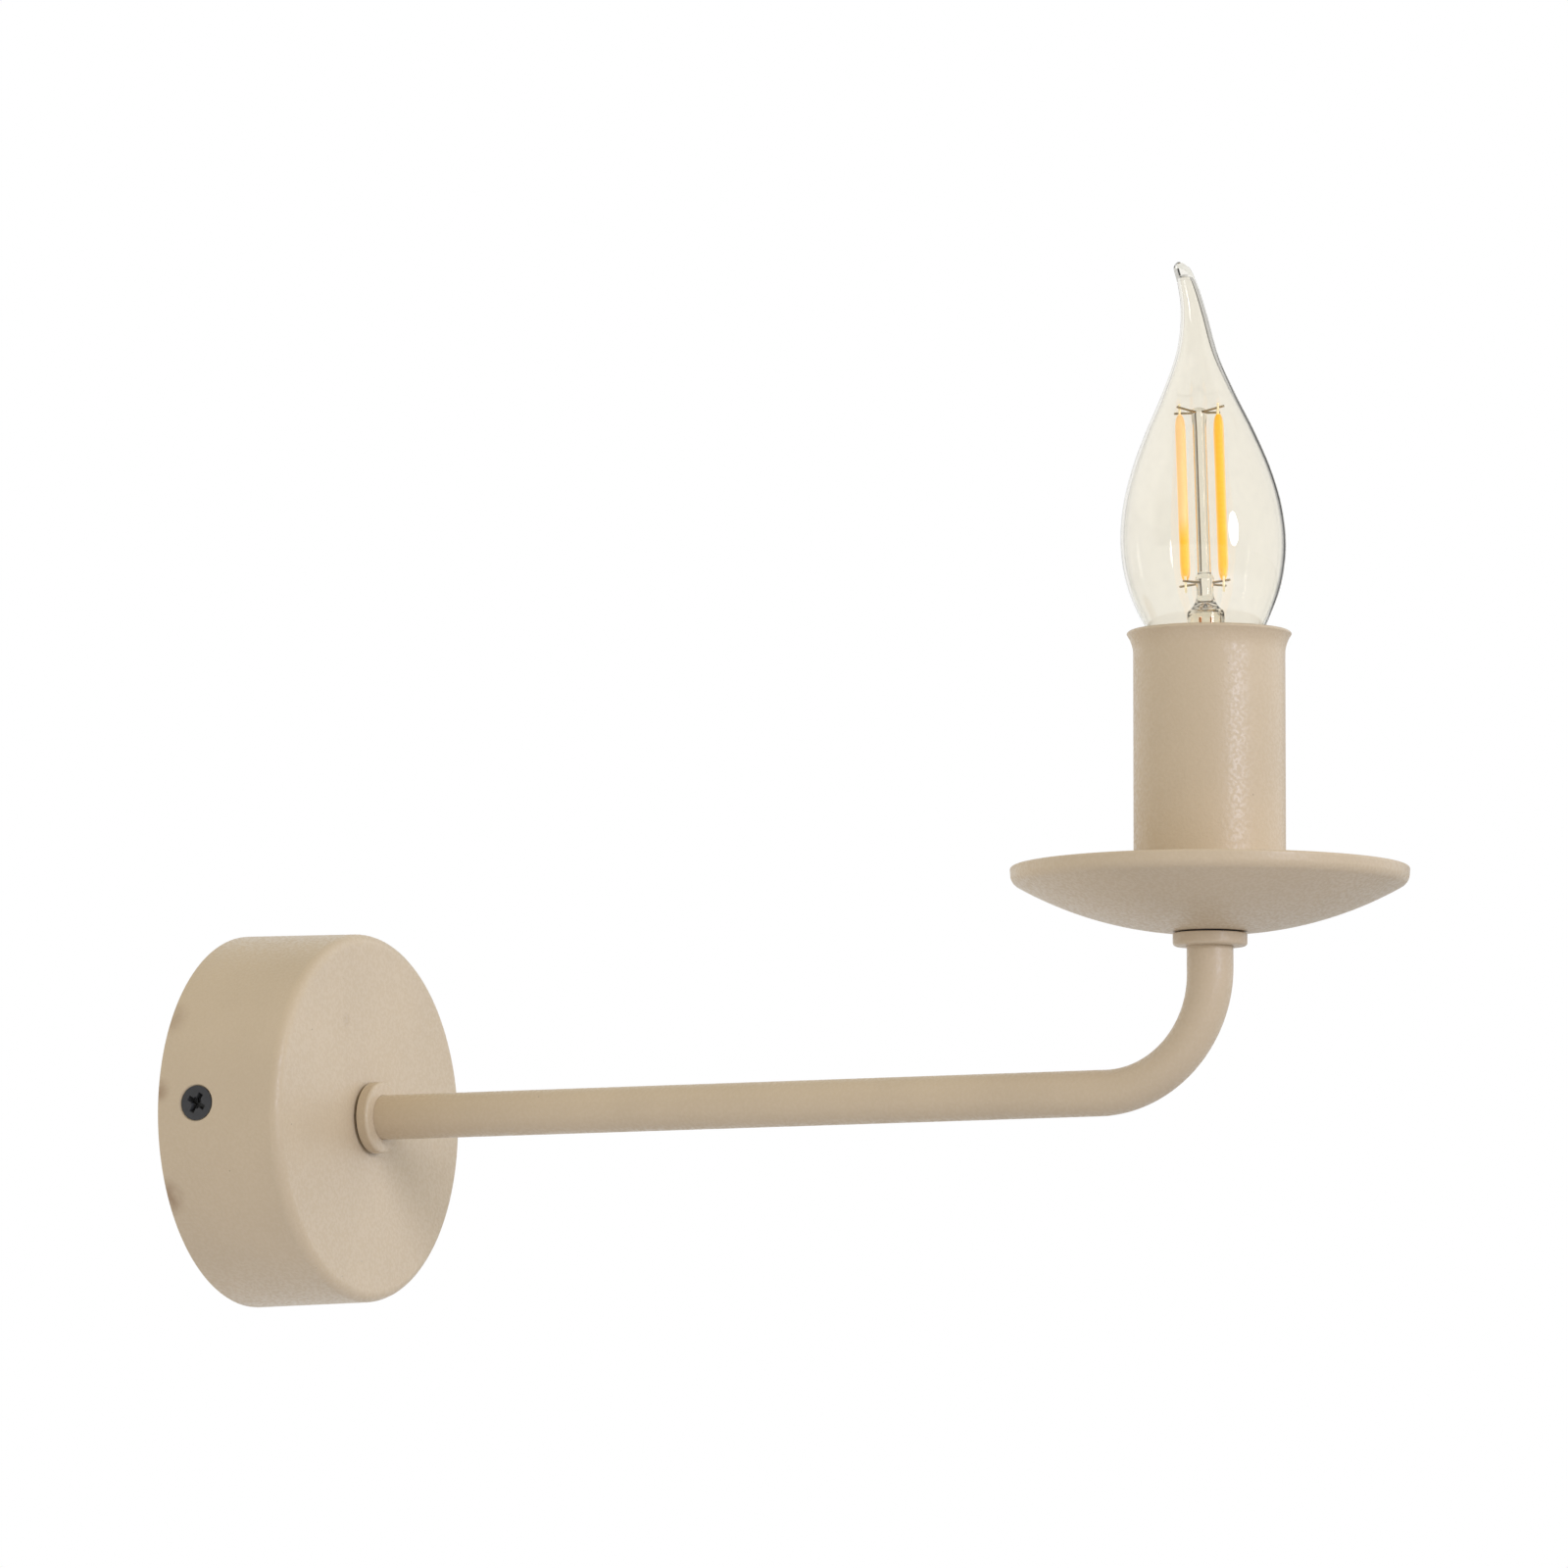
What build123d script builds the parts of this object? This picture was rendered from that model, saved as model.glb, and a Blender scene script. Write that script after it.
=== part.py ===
"""Wall lamp with one candle arm: round canopy, bent tube, drip dish, candle sleeve and flame bulb.

Sizes are in millimetres. The wall is the plane Y = 0, the lamp stands out along -Y, +Z is up,
and the origin is the middle of the canopy on the wall.
"""
from build123d import *
import os
from math import atan2, cos, degrees, radians, sin, sqrt

# Fits
slip_clearance = 0.05  # a rod or tube in its hole, on the radius
head_clearance = 0.1  # a countersunk head in its seat
loose_clearance = 0.3  # a piece dropped into a housing

# Canopy cup
canopy_back_radius = 41.8
canopy_front_radius = 41.2
canopy_depth = 30.5
canopy_wall = 1.0
canopy_edge_radius = 2.5

# Wall bracket: a strip on the wall with two bent ears
bracket_width = 16.0
bracket_thickness = 1.5
bracket_bend_radius = 1.5
ear_depth = 16.0
ear_gap = 1.2
ear_corner_radius = 4.0
slot_spacing = 50.0
slot_length = 12.0
slot_width = 5.0

# Side screws of the canopy
side_screw_from_wall = 9.8
side_screw_turn = 2.1  # degrees that the pair is turned from level
side_screw_radius = 2.0
side_screw_head_radius = 4.0
side_screw_length = 10.0
side_screw_sink = 0.2
recess_length = 4.6
recess_width = 0.9
recess_tick_length = 2.6
recess_tick_width = 0.5
recess_depth = 1.4

# Terminal block on the bracket
pole_pitch = 8.0
pole_count = 3
block_side_wall = 4.5
block_width = 16.0
block_height = 12.0
block_corner_radius = 1.5
pole_radius = 2.2
pole_bore = 1.5
pole_from_base = 6.0
clamp_screw_radius = 1.4
clamp_screw_offset = 4.5
clamp_screw_sink = 1.0
block_screw_radius = 1.45
block_screw_head_radius = 2.6
block_screw_head_height = 1.8
block_screw_slot = 0.6

# Arm tube
tube_radius = 5.0
tube_wall = 1.0
arm_reach = 238.0  # from the wall to the candle's axis
bend_radius = 25.5
bend_flattening = 0.4  # how far the bend is squashed on each side
tube_past_nut = 2.2
bush_flange = 1.0
bush_length = 6.0
bush_bore = 3.0

# Collars, washers and nuts on the tube
collar_radius = 8.0
collar_thickness = 2.75
collar_edge_radius = 0.7
lock_washer_radius = 6.8
lock_washer_thickness = 0.7
nut_across_flats = 14.0
nut_thickness = 3.0
tag_thickness = 0.8
tag_radius = 7.6
tag_tongue_width = 4.4
tag_tongue_length = 15.0
tag_barrel_radius = 1.9
tag_barrel_length = 6.0
tag_barrel_sink = 0.4

# Wires
wire_radius = 1.1
wire_spread = 1.4
wire_bend_radius = 3.5
wire_lift = 15.0
wire_front_gap = 3.5
earth_wire_lift = 21.0
wire_end_in_block = 5.0
holder_wire_bend_radius = 2.2

# Drip dish
dish_collar_height = 30.75  # underside of the dish collar above the arm's axis
dish_radius = 43.0
dish_rim_lean = 0.25
dish_floor_radius = 9.4
dish_rise = 10.3
dish_belly = 0.31  # share of the rise that is reached halfway out
dish_rim_height = 3.2
dish_wall = 1.2
dish_corner_radius = 2.4
dish_lip_radius = 0.55

# Candle sleeve
sleeve_radius = 16.35
sleeve_wall = 1.0
sleeve_height = 61.75
sleeve_corner_radius = 0.9
flare_height = 4.5
flare_reach = 1.5
sleeve_washer_radius = 9.0
sleeve_washer_thickness = 1.0

# Lampholder
holder_radius = 12.5
holder_wall = 1.5
holder_cap_height = 14.0
holder_cap_floor = 2.0
holder_rim_width = 3.0
holder_boss_radius = 8.0
holder_boss_height = 9.0
tube_in_holder = 7.5
grub_radius = 1.5
grub_height = 5.5
grub_socket = 0.7
core_thickness = 5.0
holder_body_height = 25.6
holder_mouth_gap = 1.0
holder_mouth_depth = 2.0
holder_cavity_gap = 0.4
terminal_inner = 3.7
terminal_length = 4.8
terminal_width = 6.0
terminal_height = 5.0
terminal_screw_radius = 1.25
terminal_screw_head_radius = 2.0
terminal_screw_head_height = 1.2
strip_width = 3.0
strip_thickness = 0.6
tongue_lift = 1.7
tongue_past_axis = 2.6
shell_wall = 0.42
shell_height = 17.6
shell_flange_inner = 5.2
shell_flange_width = 1.555

# Bulb cap, on the small screw size
thread_pitch_radius = 6.545
thread_clearance = 0.08
contact_gap = 0.2
contact_radius = 2.4
contact_height = 1.2
contact_edge_radius = 0.6
insulator_height = 2.7
insulator_tip_radius = 3.4
insulator_radius = 5.9
insulator_lip = 1.8
cap_wall = 0.3
cap_curl = 1.0
cap_height = 23.0
cap_skirt_step = 0.955  # how far the skirt stands out from the thread
cap_skirt_height = 5.0
cement_depth = 3.8
cement_inner_radius = 6.55
board_thickness = 1.2
board_height = 9.5
capacitor_radius = 1.9
capacitor_length = 6.0
rectifier_size = 3.4
rectifier_thickness = 1.6

# Bulb glass and what it holds
glass_length = 99.1
glass_radius = 17.8
glass_wall = 0.8
glass_in_cap = 4.3
bulb_lean = 1.8  # degrees that the glass leans in its cap
bulb_lean_heading = 115.1  # degrees from +X towards +Y
hook_start = 0.788
hook_reach = 3.15
hook_power = 2.8
stem_flare_radius = 5.05
stem_flare_height = 6.0
stem_tube_radius = 4.0
stem_tube_height = 22.0
stem_tube_wall = 0.8
stem_neck_radius = 1.95
stem_neck_height = 27.0
stem_pinch_height = 30.7
stem_rod_radius = 1.45
stem_rod_height = 63.7
filament_spread = 4.1
filament_radius = 1.05
filament_base = 30.2
filament_length = 34.9
filament_pin_radius = 0.25
filament_pin_length = 2.4
support_wire_radius = 0.25
support_wire_overhang = 1.2
support_height = 66.7
support_post_radius = 0.6
lower_lead_height = 29.2
lead_wire_radius = 0.3
lead_wire_spread = 1.2

# Outline of the glass: share of its length, share of its widest radius
glass_outline = [
    (0.0, 0.337),
    (0.045, 0.354),
    (0.092, 0.42),
    (0.147, 0.573),
    (0.206, 0.748),
    (0.283, 0.922),
    (0.369, 1.0),
    (0.455, 0.969),
    (0.54, 0.849),
    (0.626, 0.661),
    (0.713, 0.437),
    (0.799, 0.25),
    (0.885, 0.158),
    (0.95, 0.12),
    (0.983, 0.103),
    (0.994, 0.068),
    (1.0, 0.02),
]
glass_hollow_end = 0.89  # share of the length where the tip becomes solid

# Levels and radii that follow from the sizes above
tube_hole = tube_radius + slip_clearance
canopy_floor = canopy_depth - canopy_wall
canopy_inner_back = canopy_back_radius - canopy_wall
canopy_inner_front = canopy_front_radius - canopy_wall
canopy_taper = (canopy_back_radius - canopy_front_radius) / canopy_depth
canopy_nut_face = canopy_floor - tag_thickness
tube_start = canopy_nut_face - nut_thickness - tube_past_nut
canopy_collar_face = canopy_depth + lock_washer_thickness

collar_top = dish_collar_height + collar_thickness
dish_bottom = collar_top + lock_washer_thickness
dish_floor = dish_bottom + dish_wall
sleeve_bottom = dish_floor + sleeve_washer_thickness
sleeve_floor = sleeve_bottom + sleeve_wall
holder_bottom = sleeve_floor + nut_thickness
holder_rim = holder_bottom + holder_cap_height
core_top = holder_rim + core_thickness
holder_top = holder_rim + holder_body_height
tube_end = holder_bottom + tube_in_holder
terminal_axis_height = holder_rim - terminal_height / 2
tongue_top = core_top + tongue_lift

bulb_bottom = tongue_top + contact_gap
insulator_bottom = bulb_bottom + contact_height
cap_bottom = insulator_bottom + insulator_height
cap_rim = bulb_bottom + cap_height
skirt_bottom = cap_rim - cap_skirt_height
cap_inner_radius = thread_pitch_radius - cap_wall
cap_skirt_radius = thread_pitch_radius + cap_skirt_step
shell_bore = thread_pitch_radius + thread_clearance
shell_flange_outer = shell_bore + shell_wall + shell_flange_width
holder_mouth_radius = cap_skirt_radius + holder_mouth_gap
holder_cavity_radius = shell_flange_outer + holder_cavity_gap
glass_base = cap_rim - glass_in_cap

# Planes and axes: sketches on the candle plane read across X and up Z
candle_axis = Axis((0, -arm_reach, 0), (0, 0, 1))
candle_plane = Plane.XZ.offset(arm_reach)
candle_base = Plane((0, -arm_reach, 0))
lean_heading = Vector(cos(radians(bulb_lean_heading)), sin(radians(bulb_lean_heading)), 0)
upright = Vector(0, 0, 1)
lean_sine = sin(radians(bulb_lean))
lean_cosine = cos(radians(bulb_lean))
bulb_plane = Plane(
    origin=(0, -arm_reach, glass_base),
    x_dir=lean_heading * lean_cosine - upright * lean_sine,
    z_dir=lean_heading * lean_sine + upright * lean_cosine,
)
bulb_axis = Axis(bulb_plane.origin, bulb_plane.z_dir)
bulb_section = Plane(bulb_plane.origin, x_dir=bulb_plane.x_dir, z_dir=-bulb_plane.y_dir)

# Seats of the side screws: the plane of each head, facing out of the canopy
side_screw_seat_radius = canopy_back_radius - canopy_taper * side_screw_from_wall - side_screw_sink
side_screw_seats = []
for side in (-1, 1):
    outward = Vector(side * cos(radians(side_screw_turn)), 0, -side * sin(radians(side_screw_turn)))
    seat_point = outward * side_screw_seat_radius - Vector(0, side_screw_from_wall, 0)
    side_screw_seats.append(Plane(seat_point, x_dir=(0, 1, 0), z_dir=outward))

top_down = (Align.CENTER, Align.CENTER, Align.MAX)
bottom_up = (Align.CENTER, Align.CENTER, Align.MIN)


def ring(plane, outer_radius, inner_radius, thickness):
    """A flat ring that stands on a plane."""
    with BuildPart() as made:
        with BuildSketch(plane):
            Circle(outer_radius)
            Circle(inner_radius, mode=Mode.SUBTRACT)
        extrude(amount=thickness)
    return made


def collar(plane):
    """A round collar for the tube with softened edges, standing on a plane."""
    with BuildPart() as made:
        with BuildSketch(plane):
            Circle(collar_radius)
            Circle(tube_hole, mode=Mode.SUBTRACT)
        extrude(amount=collar_thickness)
        rims = made.edges().filter_by(GeomType.CIRCLE).sort_by(SortBy.RADIUS)[-2:]
        fillet(rims, collar_edge_radius)
    return made


def lock_nut(plane):
    """A thin hexagon nut with its upper corners cut to a cone, standing on a plane."""
    cone_foot = nut_across_flats / 2 + nut_thickness * sqrt(3)
    with BuildPart() as made:
        with BuildSketch(plane):
            RegularPolygon(nut_across_flats / 2, 6, major_radius=False)
            Circle(tube_hole, mode=Mode.SUBTRACT)
        extrude(amount=nut_thickness)
        with Locations(plane.location):
            Cone(cone_foot, nut_across_flats / 2, nut_thickness, align=bottom_up, mode=Mode.INTERSECT)
    return made


def slotted_screw(head_planes, shank_radius, length, head_radius, head_height, slot_width):
    """Screws with a round head and one slot; each plane lies under a head and faces outwards."""
    with BuildPart() as made:
        for plane in head_planes:
            with Locations(plane.location):
                Cylinder(shank_radius, length, align=top_down)
                Cylinder(head_radius, head_height, align=bottom_up)
            with BuildSketch(plane.offset(head_height)):
                Rectangle(head_radius * 3, slot_width)
            extrude(amount=-head_height / 2, mode=Mode.SUBTRACT)
    return made


def wire(route, radii):
    """An insulated wire along straight runs joined by arcs."""
    with BuildPart() as made:
        with BuildLine() as path:
            FilletPolyline(*route, radius=radii)
        with BuildSketch(Plane(path.wire() @ 0, z_dir=path.wire() % 0)):
            Circle(wire_radius)
        sweep(path=path.wire())
    return made


# Canopy cup: open to the wall, with a hole for the tube and countersunk holes in its side
with BuildPart() as canopy_cup:
    with BuildSketch(Plane.XY):
        with BuildLine():
            Polyline(
                (canopy_back_radius, 0),
                (canopy_front_radius, -canopy_depth),
                (tube_hole, -canopy_depth),
                (tube_hole, -canopy_floor),
                (canopy_inner_front, -canopy_floor),
                (canopy_inner_back, 0),
                close=True,
            )
        make_face()
    revolve(axis=Axis.Y)
    front_rims = canopy_cup.edges().filter_by(GeomType.CIRCLE).group_by(Axis.Y)
    fillet(front_rims[0].sort_by(SortBy.RADIUS)[-1], canopy_edge_radius)
    all_rims = canopy_cup.edges().filter_by(GeomType.CIRCLE)
    floor_rims = all_rims.filter_by_position(Axis.Y, -canopy_floor, -canopy_floor)
    fillet(floor_rims.sort_by(SortBy.RADIUS)[-1], canopy_edge_radius - canopy_wall)
    for seat in side_screw_seats:
        with Locations(seat.location):
            CounterSinkHole(
                side_screw_radius + head_clearance,
                side_screw_head_radius + head_clearance,
                depth=ear_gap + canopy_wall + side_screw_sink,
                counter_sink_angle=90,
            )

# Side screws: countersunk heads with a cross recess
with BuildPart() as canopy_side_screws:
    for seat in side_screw_seats:
        with Locations(seat.location):
            Cylinder(side_screw_radius, side_screw_length, align=top_down)
            head_depth = side_screw_head_radius - side_screw_radius
            Cone(side_screw_radius, side_screw_head_radius, head_depth, align=top_down)
        with BuildSketch(seat):
            for angle in (0, 90):
                Rectangle(recess_length, recess_width, rotation=angle)
                Rectangle(recess_tick_length, recess_tick_width, rotation=angle + 45)
        extrude(amount=-recess_depth, mode=Mode.SUBTRACT)

# Wall bracket: a strip with two bent ears, slots for the wall screws and tapped holes
ear_face = sqrt(canopy_inner_front**2 - (bracket_width / 2) ** 2) - ear_gap / 2
pole_places = [pole_pitch * (index - (pole_count - 1) / 2) for index in range(pole_count)]
block_screw_places = [-pole_pitch / 2, pole_pitch / 2]
with BuildPart() as wall_bracket:
    with BuildSketch(Plane.XY.offset(-bracket_width / 2)):
        with BuildLine():
            FilletPolyline(
                (-ear_face, -ear_depth),
                (-ear_face, 0),
                (ear_face, 0),
                (ear_face, -ear_depth),
                radius=bracket_bend_radius + bracket_thickness,
            )
            offset(amount=bracket_thickness, side=Side.RIGHT)
        make_face()
    extrude(amount=bracket_width)
    ear_tips = wall_bracket.edges().filter_by(Axis.X).group_by(Axis.Y)[0]
    fillet(ear_tips, ear_corner_radius)
    with BuildSketch(Plane.XZ):
        with GridLocations(slot_spacing, 0, 2, 1):
            SlotOverall(slot_length, slot_width)
        with Locations(*[(place, 0) for place in block_screw_places]):
            Circle(block_screw_radius + slip_clearance)
    extrude(amount=bracket_thickness, mode=Mode.SUBTRACT)
    for seat in side_screw_seats:
        with Locations(seat.location):
            Cylinder(
                side_screw_radius + slip_clearance,
                side_screw_length,
                align=top_down,
                mode=Mode.SUBTRACT,
            )

# Terminal block: a moulded bar on the bracket with a bore for each pole
block_base = Plane.XZ.offset(bracket_thickness)
block_front = block_base.offset(block_height)
pole_depth = bracket_thickness + pole_from_base
block_length = pole_pitch * (pole_count - 1) + 2 * block_side_wall
clamp_places = [(x, z) for x in pole_places for z in (-clamp_screw_offset, clamp_screw_offset)]
pole_planes = [Plane((x, -pole_depth, -block_width / 2)) for x in pole_places]
with BuildPart() as terminal_block:
    with BuildSketch(block_base):
        RectangleRounded(block_length, block_width, block_corner_radius)
    extrude(amount=block_height)
    for plane in pole_planes:
        with BuildSketch(plane):
            Circle(pole_radius + slip_clearance)
        extrude(amount=block_width, mode=Mode.SUBTRACT)
    with BuildSketch(block_front):
        with Locations(*clamp_places):
            Circle(clamp_screw_radius + slip_clearance)
    extrude(amount=-(block_height - pole_from_base), mode=Mode.SUBTRACT)
    with BuildSketch(block_front):
        with Locations(*[(place, 0) for place in block_screw_places]):
            Circle(block_screw_radius + slip_clearance)
    extrude(amount=-block_height, mode=Mode.SUBTRACT)

# Terminal tubes: a brass tube for each pole, tapped for its two clamp screws
with BuildPart() as terminal_tubes:
    for plane in pole_planes:
        with BuildSketch(plane):
            Circle(pole_radius)
            Circle(pole_bore, mode=Mode.SUBTRACT)
        extrude(amount=block_width)
    with BuildSketch(block_front):
        with Locations(*clamp_places):
            Circle(clamp_screw_radius + slip_clearance)
    extrude(amount=-(block_height - pole_from_base), mode=Mode.SUBTRACT)

# Clamp screws: slotted grub screws that stop just short of the wires
clamp_tip = pole_depth + wire_radius + slip_clearance
clamp_face = bracket_thickness + block_height - clamp_screw_sink
with BuildPart() as terminal_clamp_screws:
    with BuildSketch(Plane.XZ.offset(clamp_tip)):
        with Locations(*clamp_places):
            Circle(clamp_screw_radius)
    extrude(amount=clamp_face - clamp_tip)
    with BuildSketch(Plane.XZ.offset(clamp_face)):
        with Locations(*clamp_places):
            Rectangle(clamp_screw_radius * 3, block_screw_slot)
    extrude(amount=-clamp_screw_radius, mode=Mode.SUBTRACT)

# Block screws: hold the terminal block to the bracket
block_screw_heads = [Plane((x, block_front.origin.Y, 0), z_dir=(0, -1, 0)) for x in block_screw_places]
terminal_block_screws = slotted_screw(
    block_screw_heads,
    block_screw_radius,
    block_height + bracket_thickness - slip_clearance,
    block_screw_head_radius,
    block_screw_head_height,
    block_screw_slot,
)

# Fixings where the tube goes through the canopy
canopy_lock_washer = ring(
    Plane.XZ.offset(canopy_depth), lock_washer_radius, tube_hole, lock_washer_thickness
)
canopy_collar = collar(Plane.XZ.offset(canopy_collar_face))
canopy_lock_nut = lock_nut(Plane((0, -canopy_nut_face, 0), z_dir=(0, 1, 0)))

# Earth tag: a ring under the nut with a tongue and a crimped barrel
tag_face = Plane.XZ.offset(canopy_nut_face)
barrel_depth = canopy_nut_face - tag_barrel_radius + tag_barrel_sink
with BuildPart() as earth_tag:
    with BuildSketch(tag_face):
        Circle(tag_radius)
        with Locations((0, tag_tongue_length / 2)):
            Rectangle(tag_tongue_width, tag_tongue_length)
        Circle(tube_hole, mode=Mode.SUBTRACT)
    extrude(amount=tag_thickness)
    with Locations((0, -barrel_depth, tag_tongue_length)):
        Cylinder(tag_barrel_radius, tag_barrel_length, align=top_down)
        Cylinder(
            wire_radius + slip_clearance,
            tag_barrel_length,
            align=top_down,
            mode=Mode.SUBTRACT,
        )

# Arm tube: a straight run, a squashed quarter bend and a riser
bend_start = arm_reach - bend_radius
bend_centre = Vector(0, -bend_start, bend_radius)
bend_steps = 4


def bend_plane(step):
    """The plane across the tube at a step of the bend, with its X axis across the arm."""
    angle = radians(90 * step / bend_steps)
    along = Vector(0, -cos(angle), sin(angle))
    outward = Vector(0, -sin(angle), -cos(angle))
    return Plane(bend_centre + outward * bend_radius, x_dir=(1, 0, 0), z_dir=along)


def bend_solid(radius):
    """The quarter bend of a round rod, squashed in the plane of the bend towards its middle."""
    with BuildPart() as made:
        for step in range(bend_steps + 1):
            squash = bend_flattening * sin(radians(180 * step / bend_steps))
            with BuildSketch(bend_plane(step)):
                Ellipse(radius, radius - squash)
        loft()
    return made.part


with BuildPart() as arm_tube:
    for radius, mode in ((tube_radius, Mode.ADD), (tube_radius - tube_wall, Mode.SUBTRACT)):
        with BuildSketch(Plane.XZ.offset(tube_start)):
            Circle(radius)
        extrude(amount=bend_start - tube_start, mode=mode)
        with BuildSketch(candle_base.offset(bend_radius)):
            Circle(radius)
        extrude(amount=tube_end - bend_radius, mode=mode)
        add(bend_solid(radius), mode=mode)

# Bushes: plastic liners that guard the wires at both ends of the tube
bush_places = [Plane.XZ.offset(tube_start), Plane((0, -arm_reach, tube_end), z_dir=(0, 0, -1))]
with BuildPart() as tube_bushes:
    for plane in bush_places:
        with BuildSketch(plane.offset(-bush_flange)):
            Circle(tube_radius)
            Circle(bush_bore, mode=Mode.SUBTRACT)
        extrude(amount=bush_flange)
        with BuildSketch(plane):
            Circle(tube_radius - tube_wall - slip_clearance)
            Circle(bush_bore, mode=Mode.SUBTRACT)
        extrude(amount=bush_length)

# Wires: from the terminal block, through the tube, to the lampholder; the earth goes to its tag
wire_front = bracket_thickness + block_height + wire_front_gap
wire_stop = block_width / 2 - wire_end_in_block
terminal_hole_end = terminal_inner + terminal_length - strip_thickness


def supply_route(side, pole_place):
    """Corners of a supply wire that keeps to one side of the tube's middle."""
    x = side * wire_spread
    return [
        (pole_place, -pole_depth, wire_stop),
        (pole_place, -pole_depth, wire_lift),
        (x, -wire_front, wire_lift),
        (x, -wire_front, 0),
        (x, -arm_reach, 0),
        (x, -arm_reach, terminal_axis_height),
        (side * terminal_hole_end, -arm_reach, terminal_axis_height),
    ]


supply_radii = [wire_bend_radius] * 3 + [bend_radius, holder_wire_bend_radius]
live_wire = wire(supply_route(-1, pole_places[0]), supply_radii)
neutral_wire = wire(supply_route(1, pole_places[-1]), supply_radii)
earth_wire = wire(
    [
        (0, -barrel_depth, tag_tongue_length - tag_barrel_length),
        (0, -barrel_depth, earth_wire_lift),
        (0, -pole_depth, earth_wire_lift),
        (0, -pole_depth, wire_stop),
    ],
    wire_bend_radius,
)

# Fixings under the dish and on the sleeve's floor
dish_collar = collar(candle_base.offset(dish_collar_height))
dish_lock_washer = ring(
    candle_base.offset(collar_top), lock_washer_radius, tube_hole, lock_washer_thickness
)
sleeve_washer = ring(
    candle_base.offset(dish_floor), sleeve_washer_radius, tube_hole, sleeve_washer_thickness
)
sleeve_lock_nut = lock_nut(candle_base.offset(sleeve_floor))

# Drip dish: a flat floor, a bowed belly and a short rim that leans out a little
rim_bottom = dish_bottom + dish_rise
rim_foot_radius = dish_radius - dish_rim_lean
belly_radius = (dish_floor_radius + rim_foot_radius) / 2
rim_top = rim_bottom + dish_rim_height
with BuildPart() as drip_dish:
    with BuildSketch(candle_plane) as dish_half:
        with BuildLine():
            floor_line = Line((0, dish_bottom), (dish_floor_radius, dish_bottom))
            belly_line = ThreePointArc(
                floor_line @ 1,
                (belly_radius, dish_bottom + dish_rise * dish_belly),
                (rim_foot_radius, rim_bottom),
            )
            Polyline(belly_line @ 1, (dish_radius, rim_top), (0, rim_top), floor_line @ 0)
        make_face()
        fillet(dish_half.vertices().group_by(Axis.Y)[1].sort_by(Axis.X)[-1], dish_corner_radius)
    revolve(axis=candle_axis)
    offset(amount=-dish_wall, openings=drip_dish.faces().sort_by(Axis.Z)[-1])
    with BuildSketch(candle_base.offset(dish_bottom)):
        Circle(tube_hole)
    extrude(amount=dish_wall, mode=Mode.SUBTRACT)
    lip_edges = drip_dish.edges().group_by(Axis.Z)[-1]
    fillet(lip_edges, dish_lip_radius)

# Candle sleeve: a tube with a floor that is clamped on the dish and a rim that flares out
flare_turn = 2 * atan2(flare_reach, flare_height)
flare_radius = flare_height / sin(flare_turn)
flare_bottom = sleeve_bottom + sleeve_height - flare_height
with BuildPart() as candle_sleeve:
    with BuildSketch(candle_plane) as sleeve_half:
        with BuildLine():
            floor_line = Line((0, sleeve_bottom), (sleeve_radius, sleeve_bottom))
            side_line = Line(floor_line @ 1, (sleeve_radius, flare_bottom))
            flare_line = JernArc(side_line @ 1, (0, 1), flare_radius, -degrees(flare_turn))
            Polyline(flare_line @ 1, (0, (flare_line @ 1).Y), floor_line @ 0)
        make_face()
        fillet(sleeve_half.vertices().group_by(Axis.Y)[0].sort_by(Axis.X)[-1], sleeve_corner_radius)
    revolve(axis=candle_axis)
    offset(amount=-sleeve_wall, openings=candle_sleeve.faces().sort_by(Axis.Z)[-1])
    with BuildSketch(candle_base.offset(sleeve_bottom)):
        Circle(tube_hole)
    extrude(amount=sleeve_wall, mode=Mode.SUBTRACT)

# Lampholder cap: a cup with a boss for the tube and a tapped hole for the grub screw
cap_cavity_radius = holder_radius - holder_rim_width
grub_tip = -arm_reach - tube_hole
grub_plane = Plane((0, grub_tip, holder_bottom + grub_height), z_dir=(0, -1, 0))
with BuildPart() as lampholder_cap:
    with BuildSketch(candle_plane):
        with BuildLine():
            Polyline(
                (tube_hole, holder_bottom),
                (holder_radius, holder_bottom),
                (holder_radius, holder_rim),
                (cap_cavity_radius, holder_rim),
                (cap_cavity_radius, holder_bottom + holder_cap_floor),
                (holder_boss_radius, holder_bottom + holder_cap_floor),
                (holder_boss_radius, holder_bottom + holder_boss_height),
                (tube_hole, holder_bottom + holder_boss_height),
                close=True,
            )
        make_face()
    revolve(axis=candle_axis)
    with BuildSketch(grub_plane):
        Circle(grub_radius + slip_clearance)
    extrude(amount=holder_radius, mode=Mode.SUBTRACT)

with BuildPart() as lampholder_grub_screw:
    with BuildSketch(grub_plane):
        Circle(grub_radius)
    extrude(amount=holder_boss_radius - tube_radius)
    with BuildSketch(grub_plane.offset(holder_boss_radius - tube_radius)):
        RegularPolygon(grub_socket, 6)
    extrude(amount=-grub_radius, mode=Mode.SUBTRACT)

# Contacts: a brass terminal under the core on each side, with a strip that goes up through it
terminal_middle = terminal_inner + terminal_length / 2
live_strip = -(terminal_inner + strip_thickness / 2)
neutral_strip = terminal_inner + terminal_length - strip_thickness / 2
terminal_base = candle_base.offset(holder_rim - terminal_height)


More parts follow.
